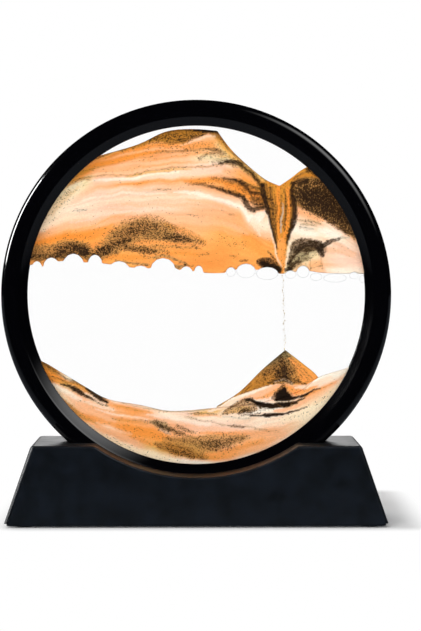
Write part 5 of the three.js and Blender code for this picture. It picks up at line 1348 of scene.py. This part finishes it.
# Each lamp shines on matt surfaces or shows in gloss, so that the two can be set apart. It stands the
# distance far, in metres, from lampAim in the direction way, and fades from its middle where it has a fade.
lampAim = (0, 0, 0.1)
lamps = {
    "key": {"way": (-0.44, -0.69, 0.57), "far": 1.8, "size": (0.82, 0.82), "level": 5.6, "matt": True},
    "front_fill": {"way": (0.05, -1.0, 0.0), "far": 1.2, "size": (1.0, 0.3), "level": 7.5, "matt": True},
    "left_card": {"way": (-0.92, 0.03, 0.385), "far": 0.9, "size": (0.235, 0.44), "level": 30.0},
    "right_card": {"way": (0.62, -0.42, 0.66), "far": 0.9, "size": (0.95, 0.95), "level": 4.0, "fade": 1.0},
    "back_card": {"way": (0.0, 0.98, 0.22), "far": 1.0, "size": (0.60, 0.42), "level": 3.4, "fade": 0.5},
    "back_fill": {"way": (-0.35, 0.75, 0.55), "far": 1.4, "size": (0.8, 0.8), "level": 2.5, "matt": True}}
for name, lamp in lamps.items():
    light = bpy.data.objects.new(name, bpy.data.lights.new(name, "AREA"))
    scene.collection.objects.link(light)
    matt = lamp.get("matt", False)
    light.data.shape = "RECTANGLE"
    light.data.size, light.data.size_y = lamp["size"]
    light.data.energy = lamp["level"] * math.pi * lamp["size"][0] * lamp["size"][1]
    light.location = Vector(lamp["way"]).normalized() * lamp["far"] + Vector(lampAim)
    light.rotation_euler = Vector(lamp["way"]).to_track_quat("Z", "Y").to_euler()
    light.visible_camera = False
    light.visible_diffuse = matt
    light.visible_glossy = not matt
    light.visible_transmission = False
    if "fade" in lamp:
        light.data.use_nodes = True
        tree = light.data.node_tree
        tree.nodes.clear()
        spot = addNode(tree, "ShaderNodeNewGeometry").outputs["Parametric"]
        reach = calculateVector(tree, "LENGTH", calculateVector(tree, "SUBTRACT", spot, (0.5, 0.5, 0)))
        soft = mapRange(tree, reach, 0.5, 0.5 - 0.5 * lamp["fade"], kind="SMOOTHSTEP")
        glow = addNode(tree, "ShaderNodeEmission", {"Strength": soft})
        addNode(tree, "ShaderNodeOutputLight", {"Surface": glow.outputs[0]})

# the room: plain white to the camera, soft light on matt surfaces and nearly dark in gloss
skyLook = {"white": "#FFFFFF", "ambient": 0.47, "inGloss": 0.006}
world = bpy.data.worlds.new("studio")
scene.world = world
world.use_nodes = True
tree = world.node_tree
tree.nodes.clear()
ray = addNode(tree, "ShaderNodeLightPath").outputs
glossOrRoom = mixNumbers(tree, ray["Is Glossy Ray"], skyLook["ambient"], skyLook["inGloss"])
level = mixNumbers(tree, cameraSees(tree, ray), glossOrRoom, 1.0)
room = addNode(tree, "ShaderNodeBackground", {"Color": skyLook["white"], "Strength": level})
addNode(tree, "ShaderNodeOutputWorld", {"Surface": room.outputs[0]})
print("studio made")

low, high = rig.bounds()
with open("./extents.json", "w") as sizeFile:
    json.dump({"cad": [list(cadLow), list(cadHigh)], "visual": [list(low), list(high)]}, sizeFile)
